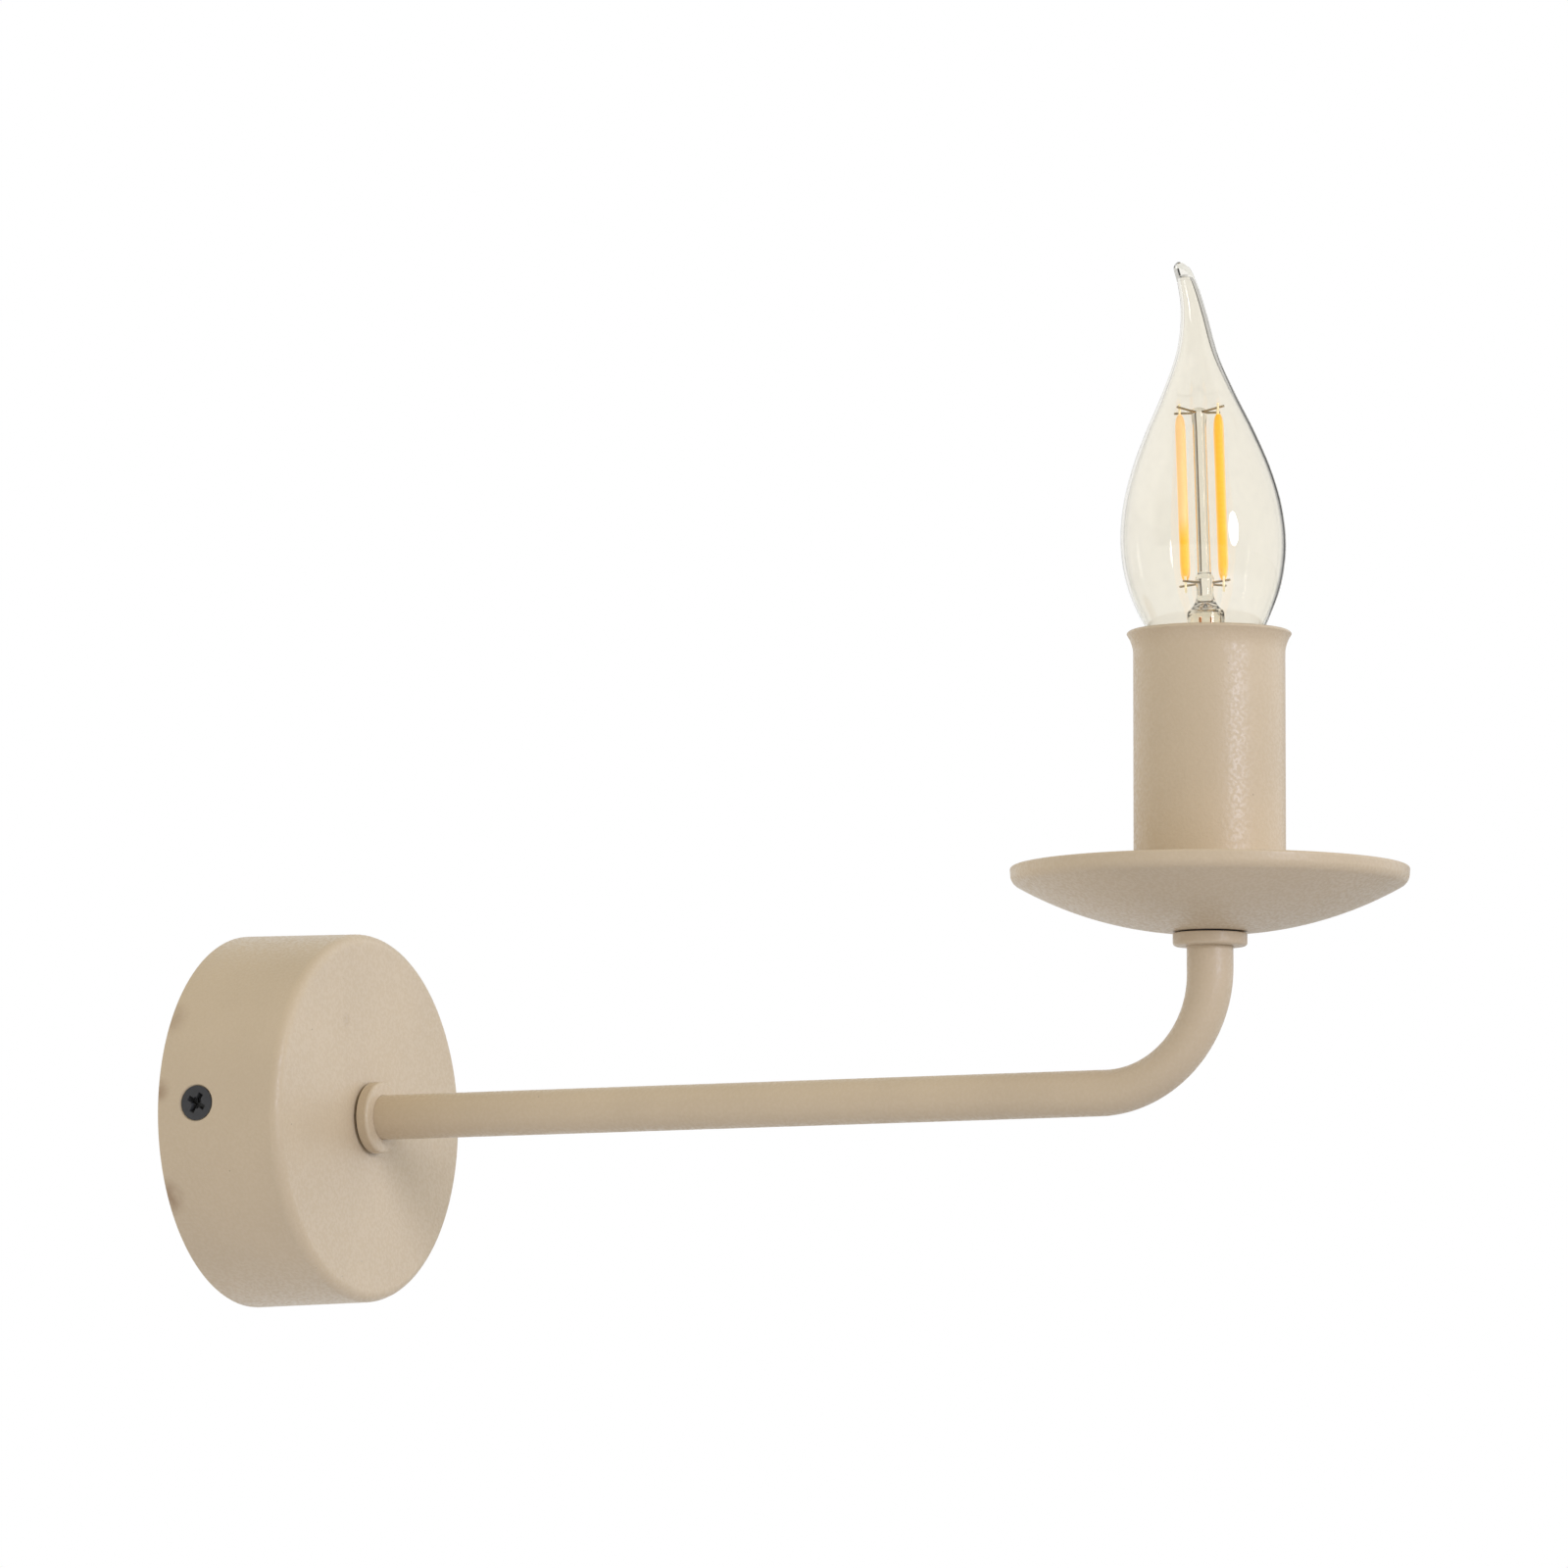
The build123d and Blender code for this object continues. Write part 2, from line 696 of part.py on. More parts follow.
def terminal(side):
    """A brass terminal with a hole for its wire and a tapped hole for its screw."""
    with BuildPart() as made:
        with BuildSketch(terminal_base):
            with Locations((side * terminal_middle, 0)):
                Rectangle(terminal_length, terminal_width)
        extrude(amount=terminal_height)
        hole_plane = Plane((side * terminal_inner, -arm_reach, terminal_axis_height), z_dir=(side, 0, 0))
        with BuildSketch(hole_plane):
            Circle(wire_radius + slip_clearance)
        extrude(amount=terminal_length - strip_thickness, mode=Mode.SUBTRACT)
        with BuildSketch(terminal_screw_plane(side)):
            Circle(terminal_screw_radius + slip_clearance)
        extrude(amount=-terminal_width / 2, mode=Mode.SUBTRACT)
    return made


def terminal_screw_plane(side):
    """The front face of a terminal, in line with its wire."""
    face = -arm_reach - terminal_width / 2
    return Plane((side * terminal_middle, face, terminal_axis_height), z_dir=(0, -1, 0))


with BuildPart() as lampholder_live_contact:
    add(terminal(-1).part)
    with BuildSketch(candle_base.offset(holder_rim)):
        with Locations((live_strip, 0)):
            Rectangle(strip_thickness, strip_width)
    extrude(amount=core_thickness + tongue_lift)
    tongue_reach = tongue_past_axis + terminal_inner + strip_thickness
    with BuildSketch(candle_base.offset(tongue_top - strip_thickness)):
        with Locations((tongue_past_axis - tongue_reach / 2, 0)):
            Rectangle(tongue_reach, strip_width)
    extrude(amount=strip_thickness)

with BuildPart() as lampholder_neutral_contact:
    add(terminal(1).part)
    with BuildSketch(candle_base.offset(holder_rim)):
        with Locations((neutral_strip, 0)):
            Rectangle(strip_thickness, strip_width)
    extrude(amount=core_thickness)

lampholder_terminal_screws = slotted_screw(
    [terminal_screw_plane(-1), terminal_screw_plane(1)],
    terminal_screw_radius,
    terminal_width / 2 - wire_radius - slip_clearance,
    terminal_screw_head_radius,
    terminal_screw_head_height,
    block_screw_slot,
)

# Lampholder core: an insulating disc clamped between cap and body, slotted for the strips
core_radius = holder_radius - holder_wall - loose_clearance
with BuildPart() as lampholder_core:
    with BuildSketch(candle_base.offset(holder_rim)):
        Circle(core_radius)
        with Locations((live_strip, 0), (neutral_strip, 0)):
            Rectangle(
                strip_thickness + 2 * slip_clearance,
                strip_width + 2 * slip_clearance,
                mode=Mode.SUBTRACT,
            )
    extrude(amount=core_thickness)

# Lampholder body: a plain shell with a shoulder over the core and a mouth for the bulb's cap
with BuildPart() as lampholder_body:
    with BuildSketch(candle_plane):
        with BuildLine():
            Polyline(
                (holder_radius - holder_wall, holder_rim),
                (holder_radius, holder_rim),
                (holder_radius, holder_top),
                (holder_mouth_radius, holder_top),
                (holder_mouth_radius, holder_top - holder_mouth_depth),
                (holder_cavity_radius, holder_top - holder_mouth_depth),
                (holder_cavity_radius, core_top),
                (holder_radius - holder_wall, core_top),
                close=True,
            )
        make_face()
    revolve(axis=candle_axis)
    top_rims = lampholder_body.edges().filter_by(GeomType.CIRCLE).group_by(Axis.Z)[-1]
    fillet(top_rims.sort_by(SortBy.RADIUS)[-1], holder_wall / 2)

# Screw shell: the metal lining that the bulb's cap turns in
with BuildPart() as lampholder_screw_shell:
    with BuildSketch(candle_plane):
        with BuildLine():
            Polyline(
                (shell_flange_inner, core_top),
                (shell_flange_outer, core_top),
                (shell_flange_outer, core_top + shell_wall),
                (shell_bore + shell_wall, core_top + shell_wall),
                (shell_bore + shell_wall, core_top + shell_height),
                (shell_bore, core_top + shell_height),
                (shell_bore, core_top + shell_wall),
                (shell_flange_inner, core_top + shell_wall),
                close=True,
            )
        make_face()
    revolve(axis=candle_axis)

# Bulb cap: centre contact, insulator, shell, cement and the driver board inside
with BuildPart() as bulb_centre_contact:
    with BuildSketch(candle_base.offset(bulb_bottom)):
        Circle(contact_radius)
    extrude(amount=contact_height)
    fillet(bulb_centre_contact.edges().group_by(Axis.Z)[0], contact_edge_radius)

with BuildPart() as bulb_cap_insulator:
    with BuildSketch(candle_plane):
        with BuildLine():
            Polyline(
                (0, insulator_bottom),
                (insulator_tip_radius, insulator_bottom),
                (insulator_radius, cap_bottom),
                (insulator_radius, cap_bottom + insulator_lip),
                (0, cap_bottom + insulator_lip),
                close=True,
            )
        make_face()
    revolve(axis=candle_axis)

with BuildPart() as bulb_cap_shell:
    with BuildSketch(candle_plane):
        with BuildLine():
            Polyline(
                (insulator_radius + slip_clearance, cap_bottom),
                (thread_pitch_radius, cap_bottom + cap_curl),
                (thread_pitch_radius, skirt_bottom - cap_skirt_step),
                (cap_skirt_radius, skirt_bottom),
                (cap_skirt_radius, cap_rim),
                (cap_skirt_radius - cap_wall, cap_rim),
                (cap_skirt_radius - cap_wall, skirt_bottom),
                (cap_inner_radius, skirt_bottom - cap_skirt_step),
                (cap_inner_radius, cap_bottom + cap_curl),
                (insulator_radius + slip_clearance, cap_bottom + cap_curl),
                close=True,
            )
        make_face()
    revolve(axis=candle_axis)

bulb_cement = ring(
    candle_base.offset(cap_rim - cement_depth),
    cap_skirt_radius - cap_wall - slip_clearance,
    cement_inner_radius,
    cement_depth,
)

board_base = cap_bottom + insulator_lip
board_half_width = sqrt(cap_inner_radius**2 - (board_thickness / 2) ** 2) - slip_clearance
board_middle = Plane((0, -arm_reach, board_base + board_height / 2))
with BuildPart() as bulb_driver:
    with Locations(board_middle.location):
        Box(2 * board_half_width, board_thickness, board_height)

with BuildPart() as bulb_driver_components:
    with Locations(board_middle.offset(-capacitor_length / 2).location):
        with Locations((0, -board_thickness / 2 - capacitor_radius, 0)):
            Cylinder(capacitor_radius, capacitor_length, align=bottom_up)
    with Locations(board_middle.location):
        with Locations((0, board_thickness / 2 + rectifier_thickness / 2, 0)):
            Box(rectifier_size, rectifier_thickness, rectifier_size)


def hook(share):
    """How far the tip has bent sideways at a share of the glass's length."""
    past = max(0.0, share - hook_start) / (1 - hook_start)
    return hook_reach * past**hook_power


def glass_plane(share):
    """The plane across the glass at a share of its length."""
    middle = bulb_plane.from_local_coords(Vector(hook(share), 0, share * glass_length))
    return Plane(middle, x_dir=bulb_plane.x_dir, z_dir=bulb_plane.z_dir)


# Bulb glass: a blown flame with a bent tip, leaning a little in its cap
with BuildPart() as bulb_glass:
    for share, width in glass_outline:
        with BuildSketch(glass_plane(share)):
            Circle(width * glass_radius)
    loft()
    for share, width in glass_outline:
        if share < glass_hollow_end:
            with BuildSketch(glass_plane(share)):
                Circle(width * glass_radius - glass_wall)
    loft(mode=Mode.SUBTRACT)

# Bulb stem: a flared tube, a pinch and a rod, in one piece of glass
with BuildPart() as bulb_stem:
    with BuildSketch(bulb_section):
        with BuildLine():
            flare = Line((stem_flare_radius, 0), (stem_tube_radius, stem_flare_height))
            tube_side = Line(flare @ 1, (stem_tube_radius, stem_tube_height))
            shoulder = Spline(
                tube_side @ 1, (stem_neck_radius, stem_neck_height), tangents=((0, 1), (0, 1))
            )
            Polyline(
                shoulder @ 1,
                (stem_neck_radius, stem_pinch_height),
                (stem_rod_radius, stem_pinch_height),
                (stem_rod_radius, stem_rod_height),
                (0, stem_rod_height),
                (0, stem_tube_height),
                (stem_tube_radius - stem_tube_wall, stem_tube_height),
                (stem_tube_radius - stem_tube_wall, stem_flare_height),
                (stem_flare_radius - stem_tube_wall, 0),
                flare @ 0,
            )
        make_face()
    revolve(axis=bulb_axis)

# Filaments: sticks with a pin at each end, on the corners of a square
with BuildPart() as bulb_filaments:
    with Locations(bulb_plane.location):
        with GridLocations(2 * filament_spread, 2 * filament_spread, 2, 2):
            with Locations((0, 0, filament_base)):
                Cylinder(filament_radius, filament_length, align=bottom_up)
            with Locations((0, 0, filament_base - filament_pin_length)):
                Cylinder(filament_pin_radius, filament_length + 2 * filament_pin_length, align=bottom_up)

# Support cross on the rod, and the lower leads from the pinch: each wire passes beside a pin
pin_circle = filament_spread * sqrt(2)
wire_beside_pin = filament_pin_radius + support_wire_radius + slip_clearance


def radial_wire(height, inner_radius):
    """Wires that run outwards past the four filament pins at one height."""
    length = pin_circle + support_wire_overhang - inner_radius
    with Locations(bulb_plane.location):
        with PolarLocations(0, 4, start_angle=45):
            with Locations((inner_radius, wire_beside_pin, height)):
                Cylinder(support_wire_radius, length, rotation=(0, 90, 0), align=bottom_up)


with BuildPart() as bulb_support_cross:
    with Locations(bulb_plane.location):
        with Locations((0, 0, stem_rod_height)):
            post_height = support_height + support_wire_radius - stem_rod_height
            Cylinder(support_post_radius, post_height, align=bottom_up)
    radial_wire(support_height, 0)

with BuildPart() as bulb_lower_leads:
    radial_wire(lower_lead_height, stem_neck_radius + slip_clearance)

# Lead-in wires: copper, from the driver board up into the stem
board_top = board_base + board_height
lead_wire_foot = board_top + 2 * slip_clearance - glass_base
lead_wire_length = stem_tube_height - slip_clearance - lead_wire_foot
with BuildPart() as bulb_lead_wires:
    with Locations(bulb_plane.location):
        with GridLocations(2 * lead_wire_spread, 0, 2, 1):
            with Locations((0, 0, lead_wire_foot)):
                Cylinder(lead_wire_radius, lead_wire_length, align=bottom_up)

# Write each piece to its own file
pieces = {
    "canopy_cup": canopy_cup,
    "canopy_side_screws": canopy_side_screws,
    "wall_bracket": wall_bracket,
    "terminal_block": terminal_block,
    "terminal_tubes": terminal_tubes,
    "terminal_clamp_screws": terminal_clamp_screws,
    "terminal_block_screws": terminal_block_screws,
    "canopy_lock_washer": canopy_lock_washer,
    "canopy_collar": canopy_collar,
    "canopy_lock_nut": canopy_lock_nut,
    "earth_tag": earth_tag,
    "arm_tube": arm_tube,
    "tube_bushes": tube_bushes,
    "live_wire": live_wire,
    "neutral_wire": neutral_wire,
    "earth_wire": earth_wire,
    "dish_collar": dish_collar,
    "dish_lock_washer": dish_lock_washer,
    "drip_dish": drip_dish,
    "sleeve_washer": sleeve_washer,
    "candle_sleeve": candle_sleeve,
    "sleeve_lock_nut": sleeve_lock_nut,
    "lampholder_cap": lampholder_cap,
    "lampholder_grub_screw": lampholder_grub_screw,
    "lampholder_core": lampholder_core,
    "lampholder_live_contact": lampholder_live_contact,
    "lampholder_neutral_contact": lampholder_neutral_contact,
    "lampholder_terminal_screws": lampholder_terminal_screws,
    "lampholder_body": lampholder_body,
    "lampholder_screw_shell": lampholder_screw_shell,
    "bulb_centre_contact": bulb_centre_contact,
    "bulb_cap_insulator": bulb_cap_insulator,
    "bulb_cap_shell": bulb_cap_shell,
    "bulb_cement": bulb_cement,
    "bulb_driver": bulb_driver,
    "bulb_driver_components": bulb_driver_components,
    "bulb_glass": bulb_glass,
    "bulb_stem": bulb_stem,
    "bulb_filaments": bulb_filaments,
    "bulb_support_cross": bulb_support_cross,
    "bulb_lower_leads": bulb_lower_leads,
    "bulb_lead_wires": bulb_lead_wires,
}
os.makedirs("parts", exist_ok=True)
for name, piece in pieces.items():
    piece.part.label = name
    export_step(piece.part, f"parts/{name}.step")
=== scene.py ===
"""Looks of a candle wall lamp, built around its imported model.

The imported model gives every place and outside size. This script adds what the eye sees: smooth
shells for the coated steel, a blown glass flame with its filaments, rolled threads on the screw
cap, softened edges on the small hardware, and a finish for every surface. Lengths are in metres,
the wall is the plane Y = 0, the arm stands out along -Y and +Z is up.
"""
import logging
from dataclasses import dataclass, field
from enum import Enum
from math import atan2, cos, pi, radians, sin, sqrt, tan, tau
from typing import Callable, Sequence, Union

import bmesh
import bpy
from bmesh.types import BMEdge, BMesh, BMVert
from bpy.types import Material, Node, NodeSocket, Object, World
from mathutils import Matrix, Vector
from mathutils.geometry import interpolate_bezier


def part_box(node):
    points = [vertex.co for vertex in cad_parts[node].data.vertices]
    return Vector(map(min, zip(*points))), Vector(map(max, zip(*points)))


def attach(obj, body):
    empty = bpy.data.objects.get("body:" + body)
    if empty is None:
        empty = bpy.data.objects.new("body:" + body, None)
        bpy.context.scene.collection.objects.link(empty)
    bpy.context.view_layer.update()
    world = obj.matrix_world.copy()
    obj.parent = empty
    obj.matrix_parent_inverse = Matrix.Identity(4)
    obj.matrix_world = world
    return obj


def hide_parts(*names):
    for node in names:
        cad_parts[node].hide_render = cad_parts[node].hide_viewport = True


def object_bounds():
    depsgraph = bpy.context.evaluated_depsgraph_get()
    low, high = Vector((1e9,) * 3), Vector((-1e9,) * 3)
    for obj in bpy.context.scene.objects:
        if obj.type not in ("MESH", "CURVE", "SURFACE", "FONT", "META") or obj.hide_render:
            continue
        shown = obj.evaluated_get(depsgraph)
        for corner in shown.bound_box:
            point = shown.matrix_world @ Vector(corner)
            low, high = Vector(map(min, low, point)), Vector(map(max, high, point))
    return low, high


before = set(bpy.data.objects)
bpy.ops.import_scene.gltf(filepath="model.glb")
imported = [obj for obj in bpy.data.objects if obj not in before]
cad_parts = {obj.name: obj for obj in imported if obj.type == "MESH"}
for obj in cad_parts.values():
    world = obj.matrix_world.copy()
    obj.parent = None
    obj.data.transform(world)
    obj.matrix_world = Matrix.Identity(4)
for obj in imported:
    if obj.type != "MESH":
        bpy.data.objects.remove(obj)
cad_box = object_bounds()

MM = 0.001
MERGE = 1e-7
FLAT = radians(0.4)
SHARP = radians(32.0)
SLIP = 0.05 * MM
BEVEL = {"offset_type": "OFFSET", "profile": 0.5, "material": -1, "affect": "EDGES", "clamp_overlap": True}
ROUND = BEVEL | {"affect": "VERTICES", "clamp_overlap": False}
BLACK, WHITE = (0.0, 0.0, 0.0), (1.0, 1.0, 1.0)
CORNERS = ((-1, -1), (-1, 1), (1, -1), (1, 1))
log = logging.getLogger("wall_lamp")

Triple = tuple[float, float, float]
Colour = Triple
Pair = tuple[float, float]
Table = tuple[Pair, ...]
Link = Union[float, Sequence[float], "Value", NodeSocket]


class Body(Enum):
    """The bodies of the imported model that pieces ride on."""

    LAMP = "lamp"
    LIFT = "bulb_lift"
    BULB = "bulb"


class RunOut(Enum):
    """Where a thread's wave ends: at the foot of its groove or at the top of its ridge."""

    GROOVE = -1
    RIDGE = 1


def paint(red: int, green: int, blue: int) -> Colour:
    """The linear colour that shaders use for a screen colour, whose values go from 0 to 255."""
    shares = (value / 255 for value in (red, green, blue))
    return tuple(s / 12.92 if s <= 0.04045 else ((s + 0.055) / 1.055) ** 2.4 for s in shares)


def in_metres(table: Table) -> list[Pair]:
    """A table of radius and height in millimetres, turned into metres."""
    return [(radius * MM, height * MM) for radius, height in table]


@dataclass(frozen=True)
class Box:
    """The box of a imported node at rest."""

    low: Vector
    high: Vector

    @classmethod
    def of(cls, node: str) -> "Box":
        """The box of a node by its name."""
        return cls(*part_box(node))

    @property
    def centre(self) -> Vector:
        """The middle of the box."""
        return (self.low + self.high) / 2

    @property
    def size(self) -> Vector:
        """How far the box reaches along each axis."""
        return self.high - self.low


UP = Vector((0, 0, 1))
OUT = Vector((0, -1, 0))
CANDLE = Vector((0, Box.of("candle_sleeve").centre.y, 0))
TUBE_HOLE = Box.of("arm_tube").size.x / 2 + SLIP


class Value:
    """A number in a shader, with the arithmetic that this script uses."""

    def __init__(self, graph: "Graph", socket: NodeSocket) -> None:
        """Keep the socket and the graph that it belongs to."""
        self.graph = graph
        self.socket = socket

    def maths(self, operation: str, other: Link = 0.0) -> "Value":
        """A Math node's result, with this value first."""
        return self.graph.value("Math", {0: self, 1: other}, operation=operation)

    def __add__(self, other: Link) -> "Value":
        """This value plus another."""
        return self.maths("ADD", other)

    __radd__ = __add__

    def __sub__(self, other: Link) -> "Value":
        """This value less another."""
        return self.maths("SUBTRACT", other)

    def __rsub__(self, other: float) -> "Value":
        """A number less this value."""
        return self * -1.0 + other

    def __mul__(self, other: Link) -> "Value":
        """This value times another."""
        return self.maths("MULTIPLY", other)

    def largest(self, other: Link) -> "Value":
        """The larger of this value and another."""
        return self.maths("MAXIMUM", other)

    def rise(self, start: float, end: float) -> "Value":
        """A smooth step of this value.

        Args:
            start: where the step leaves 0.
            end: where it reaches 1; it may be the lower one.

        Returns:
            The step, from 0 to 1.
        """
        sockets = {"Value": self, "From Min": min(start, end), "From Max": max(start, end)}
        sockets |= {"To Min": float(start > end), "To Max": float(start < end)}
        return self.graph.value("MapRange", sockets, interpolation_type="SMOOTHSTEP")


class Graph:
    """The nodes of one material or of the world."""

    def __init__(self, owner: Union[Material, World]) -> None:
        """Turn the nodes on, and keep the object coordinates and the way that the surface faces.

        Args:
            owner: the material or world.
        """
        owner.use_nodes = True
        self.owner = owner
        self.tree = owner.node_tree
        outputs = self.node("TexCoord").outputs
        self.place, self.facing = outputs["Object"], outputs["Normal"]

    def node(self, kind: str, sockets: Union[dict, None] = None, **settings: str) -> Node:
        """Add a node.

        Args:
            kind: the node's type, without the words Shader Node.
            sockets: values or links of its inputs, by name or number.
            settings: attributes that are set first.

        Returns:
            The node.
        """
        made = self.tree.nodes.new("ShaderNode" + kind)
        for name, setting in settings.items():
            setattr(made, name, setting)
        self.fill(made, sockets or {})
        return made

    def fill(self, node: Node, sockets: dict) -> None:
        """Set or link a node's inputs.

        Args:
            node: the node.
            sockets: values or links, by the input's name or number.
        """
        for name, given in sockets.items():
            given = given.socket if isinstance(given, Value) else given
            if isinstance(given, NodeSocket):
                self.tree.links.new(given, node.inputs[name])
            else:
                node.inputs[name].default_value = given

    def value(
        self, kind: str, sockets: Union[dict, None] = None, output: Union[int, str] = 0, **settings: str
    ) -> Value:
        """Add a node and wrap one of its outputs as a number."""
        return Value(self, self.node(kind, sockets, **settings).outputs[output])

    def rays(self) -> list[Value]:
        """Whether the ray that is lit comes from the camera, from gloss or through glass."""
        path = self.node("LightPath").outputs
        return [Value(self, path[f"Is {kind} Ray"]) for kind in ("Camera", "Glossy", "Transmission")]

    def vector(self, operation: str, *inputs: Link) -> Value:
        """The number that a Vector Math node gives."""
        return self.value("VectorMath", dict(enumerate(inputs)), "Value", operation=operation)

    def spot(self, centre: Vector, radius: float) -> Value:
        """A soft round patch: 1 at its centre and 0 outside its radius."""
        return self.vector("DISTANCE", self.place, centre).rise(radius, 0.2 * radius)

    def along(self, way: Vector) -> Value:
        """How far the place goes along a direction."""
        return self.vector("DOT_PRODUCT", self.place, way)

    def axis(self, index: int) -> Value:
        """One of the object coordinates: 0, 1 or 2."""
        return self.value("SeparateXYZ", {0: self.place}, index)

    def noise(self, grain: float, detail: float = 2.0, roughness: float = 0.5) -> Value:
        """A soft noise from 0 to 1 whose patches are about one grain long."""
        sockets = {"Vector": self.place, "Scale": 1 / grain, "Detail": detail, "Roughness": roughness}
        return self.value("TexNoise", sockets)

    def specks(self, spacing: float, radius: float, share: float) -> Value:
        """Small round spots scattered through space.

        Args:
            spacing: the usual distance between cells.
            radius: how large a spot is.
            share: the share of cells that hold a spot.

        Returns:
            1 inside a spot and 0 outside.
        """
        cells = self.node("TexVoronoi", {"Vector": self.place, "Scale": 1 / spacing}).outputs
        drawn = self.value("SeparateColor", {0: cells["Color"]})
        near = Value(self, cells["Distance"]).rise(radius / spacing, 0.4 * radius / spacing)
        return near * drawn.rise(share + 0.01, share - 0.01)

    def mix(self, share: Link, first: Link, second: Link) -> NodeSocket:
        """Mix two colours: the first at a share of 0, the second at 1."""
        first, second = ((*end, 1.0) if isinstance(end, tuple) else end for end in (first, second))
        return self.node("Mix", {0: share, 6: first, 7: second}, data_type="RGBA").outputs[2]

    def bump(self, height: Value, depth: float) -> NodeSocket:
        """The normal of a surface with fine relief, where depth is the height of a full step."""
        return self.node("Bump", {"Height": height, "Distance": depth}).outputs[0]

    def found(self, kind: str) -> Node:
        """The node of a kind that the owner came with."""
        return next(node for node in self.tree.nodes if node.type == kind)

    def surface(self, **inputs: Link) -> None:
        """Fill the Principled shader.

        Args:
            inputs: its inputs in lower case with underscores, such as base_color.
        """
        shader = self.found("BSDF_PRINCIPLED")
        named = {socket.name.lower().replace(" ", "_"): socket.name for socket in shader.inputs}
        self.fill(shader, {named[name]: given for name, given in inputs.items()})


@dataclass(frozen=True)
class Finish:
    """A surface finish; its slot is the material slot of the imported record."""

    slot: str
    colour: Colour
    roughness: float = 0.5

    @property
    def name(self) -> str:
        """The name of its material."""
        return self.slot + "_finish"

    def material(self) -> Material:
        """The finish as a material, made once.

        Returns:
            The material.
        """
        if self.name not in bpy.data.materials:
            self.make()
        return bpy.data.materials[self.name]

    def graph(self) -> Graph:
        """The nodes of a new material."""
        return Graph(bpy.data.materials.new(self.name))

    def shade(self, share: float) -> Colour:
        """The colour, lighter or darker by a share."""
        return tuple(min(1.0, channel * share) for channel in self.colour)

    def make(self) -> None:
        """Make the material."""
        raise NotImplementedError


@dataclass(frozen=True)
class PowderCoat(Finish):
    """Fine matt powder coat: an orange peel skin, tiny glints in its gloss and painted glints in its colour,
    dust nibs, and stains on the cup's rim.
    """

    peel: float = 1.3 * MM
    relief: float = 0.12 * MM
    gloss: float = 0.32
    skin: float = 0.65
    skin_roughness: float = 0.4
    skin_ior: float = 1.3
    glint: float = 0.7
    glint_grain: float = 0.75 * MM
    glint_rough: float = 0.17
    painted_glint_tone: float = 0.05
    cloud: float = 26 * MM
    cloud_rough: float = 0.06
    nib_spacing: float = 4.4 * MM
    nib_radius: float = 0.26 * MM
    nib_share: float = 0.2
    nib_tone: float = 0.5
    stain: Colour = (0.25, 0.14, 0.07)
    stains: tuple[Triple, ...] = (
        (150.0, 5.6, 0.3), (173.8, 3.6, 0.55), (207.0, 5.6, 0.6), (262.0, 3.0, 0.4), (20.0, 4.4, 0.5),
    )
    stain_grain: float = 2.4 * MM
    stain_gain: float = 1.7
    rim_radius: float = 41.8 * MM
    smudge: Vector = Vector((-11.2, -30.5, 21.2)) * MM
    smudge_radius: float = 2.3 * MM
    smudge_tone: float = 0.14

    def make(self) -> None:
        """Make the material; a stain is its turn about the cup, its radius in millimetres and its depth."""
        graph = self.graph()
        drift = graph.noise(self.cloud, 3.0)
        peel = graph.noise(self.peel, 1.0)
        spark = graph.noise(self.glint_grain, 1.0)
        glints = spark.rise(0.4, 0.6)
        nibs = graph.specks(self.nib_spacing, self.nib_radius, self.nib_share)
        ragged = (graph.noise(self.stain_grain, 3.0) * self.stain_gain).maths("MINIMUM", 1.0)
        stain = graph.spot(self.smudge, self.smudge_radius) * self.smudge_tone
        for turn, radius, depth in self.stains:
            around = radians(turn)
            centre = Vector((cos(around), 0, sin(around))) * self.rim_radius
            stain = stain.largest(graph.spot(centre, radius * MM) * ragged * depth)
        tone = graph.mix(drift.rise(0.3, 0.7), self.shade(0.97), self.shade(1.02))
        # Painted glints: the base colour is lighter on the glint grains.
        tone = graph.mix(spark.rise(0.5, 0.72) * self.painted_glint_tone, tone, self.shade(1.3))
        tone = graph.mix(stain, tone, self.stain)
        tone = graph.mix(nibs * self.nib_tone, tone, self.shade(0.3))
        graph.surface(
            base_color=tone,
            roughness=(0.5 - glints) * self.glint_rough + self.roughness + (drift - 0.5) * self.cloud_rough,
            specular_ior_level=self.gloss,
            coat_weight=glints * self.glint + (self.skin - self.glint / 2),
            coat_roughness=self.skin_roughness,
            coat_ior=self.skin_ior,
            normal=graph.bump(spark * 0.6 + peel * 0.4 + nibs * 0.4, self.relief),
        )


@dataclass(frozen=True)
class PlatedMetal(Finish):
    """Plated or bare metal with a cloudy passivated skin and fine drawn lines."""

    tarnish: Colour = (0.45, 0.36, 0.2)
    tarnish_share: float = 0.25
    metallic: float = 1.0
    relief: float = 0.004 * MM
    grain: float = 0.35 * MM
    cloud: float = 5 * MM

    def make(self) -> None:
        """Make the material."""
        graph = self.graph()
        cloud = graph.noise(self.cloud, 4.0)
        grain = graph.noise(self.grain, 2.0)
        graph.surface(
            base_color=graph.mix(cloud.rise(0.45, 0.75) * self.tarnish_share, self.colour, self.tarnish),
            metallic=self.metallic,
            roughness=self.roughness + (cloud - 0.5) * 0.2 + (grain - 0.5) * 0.15,
            normal=graph.bump(grain, self.relief),
        )


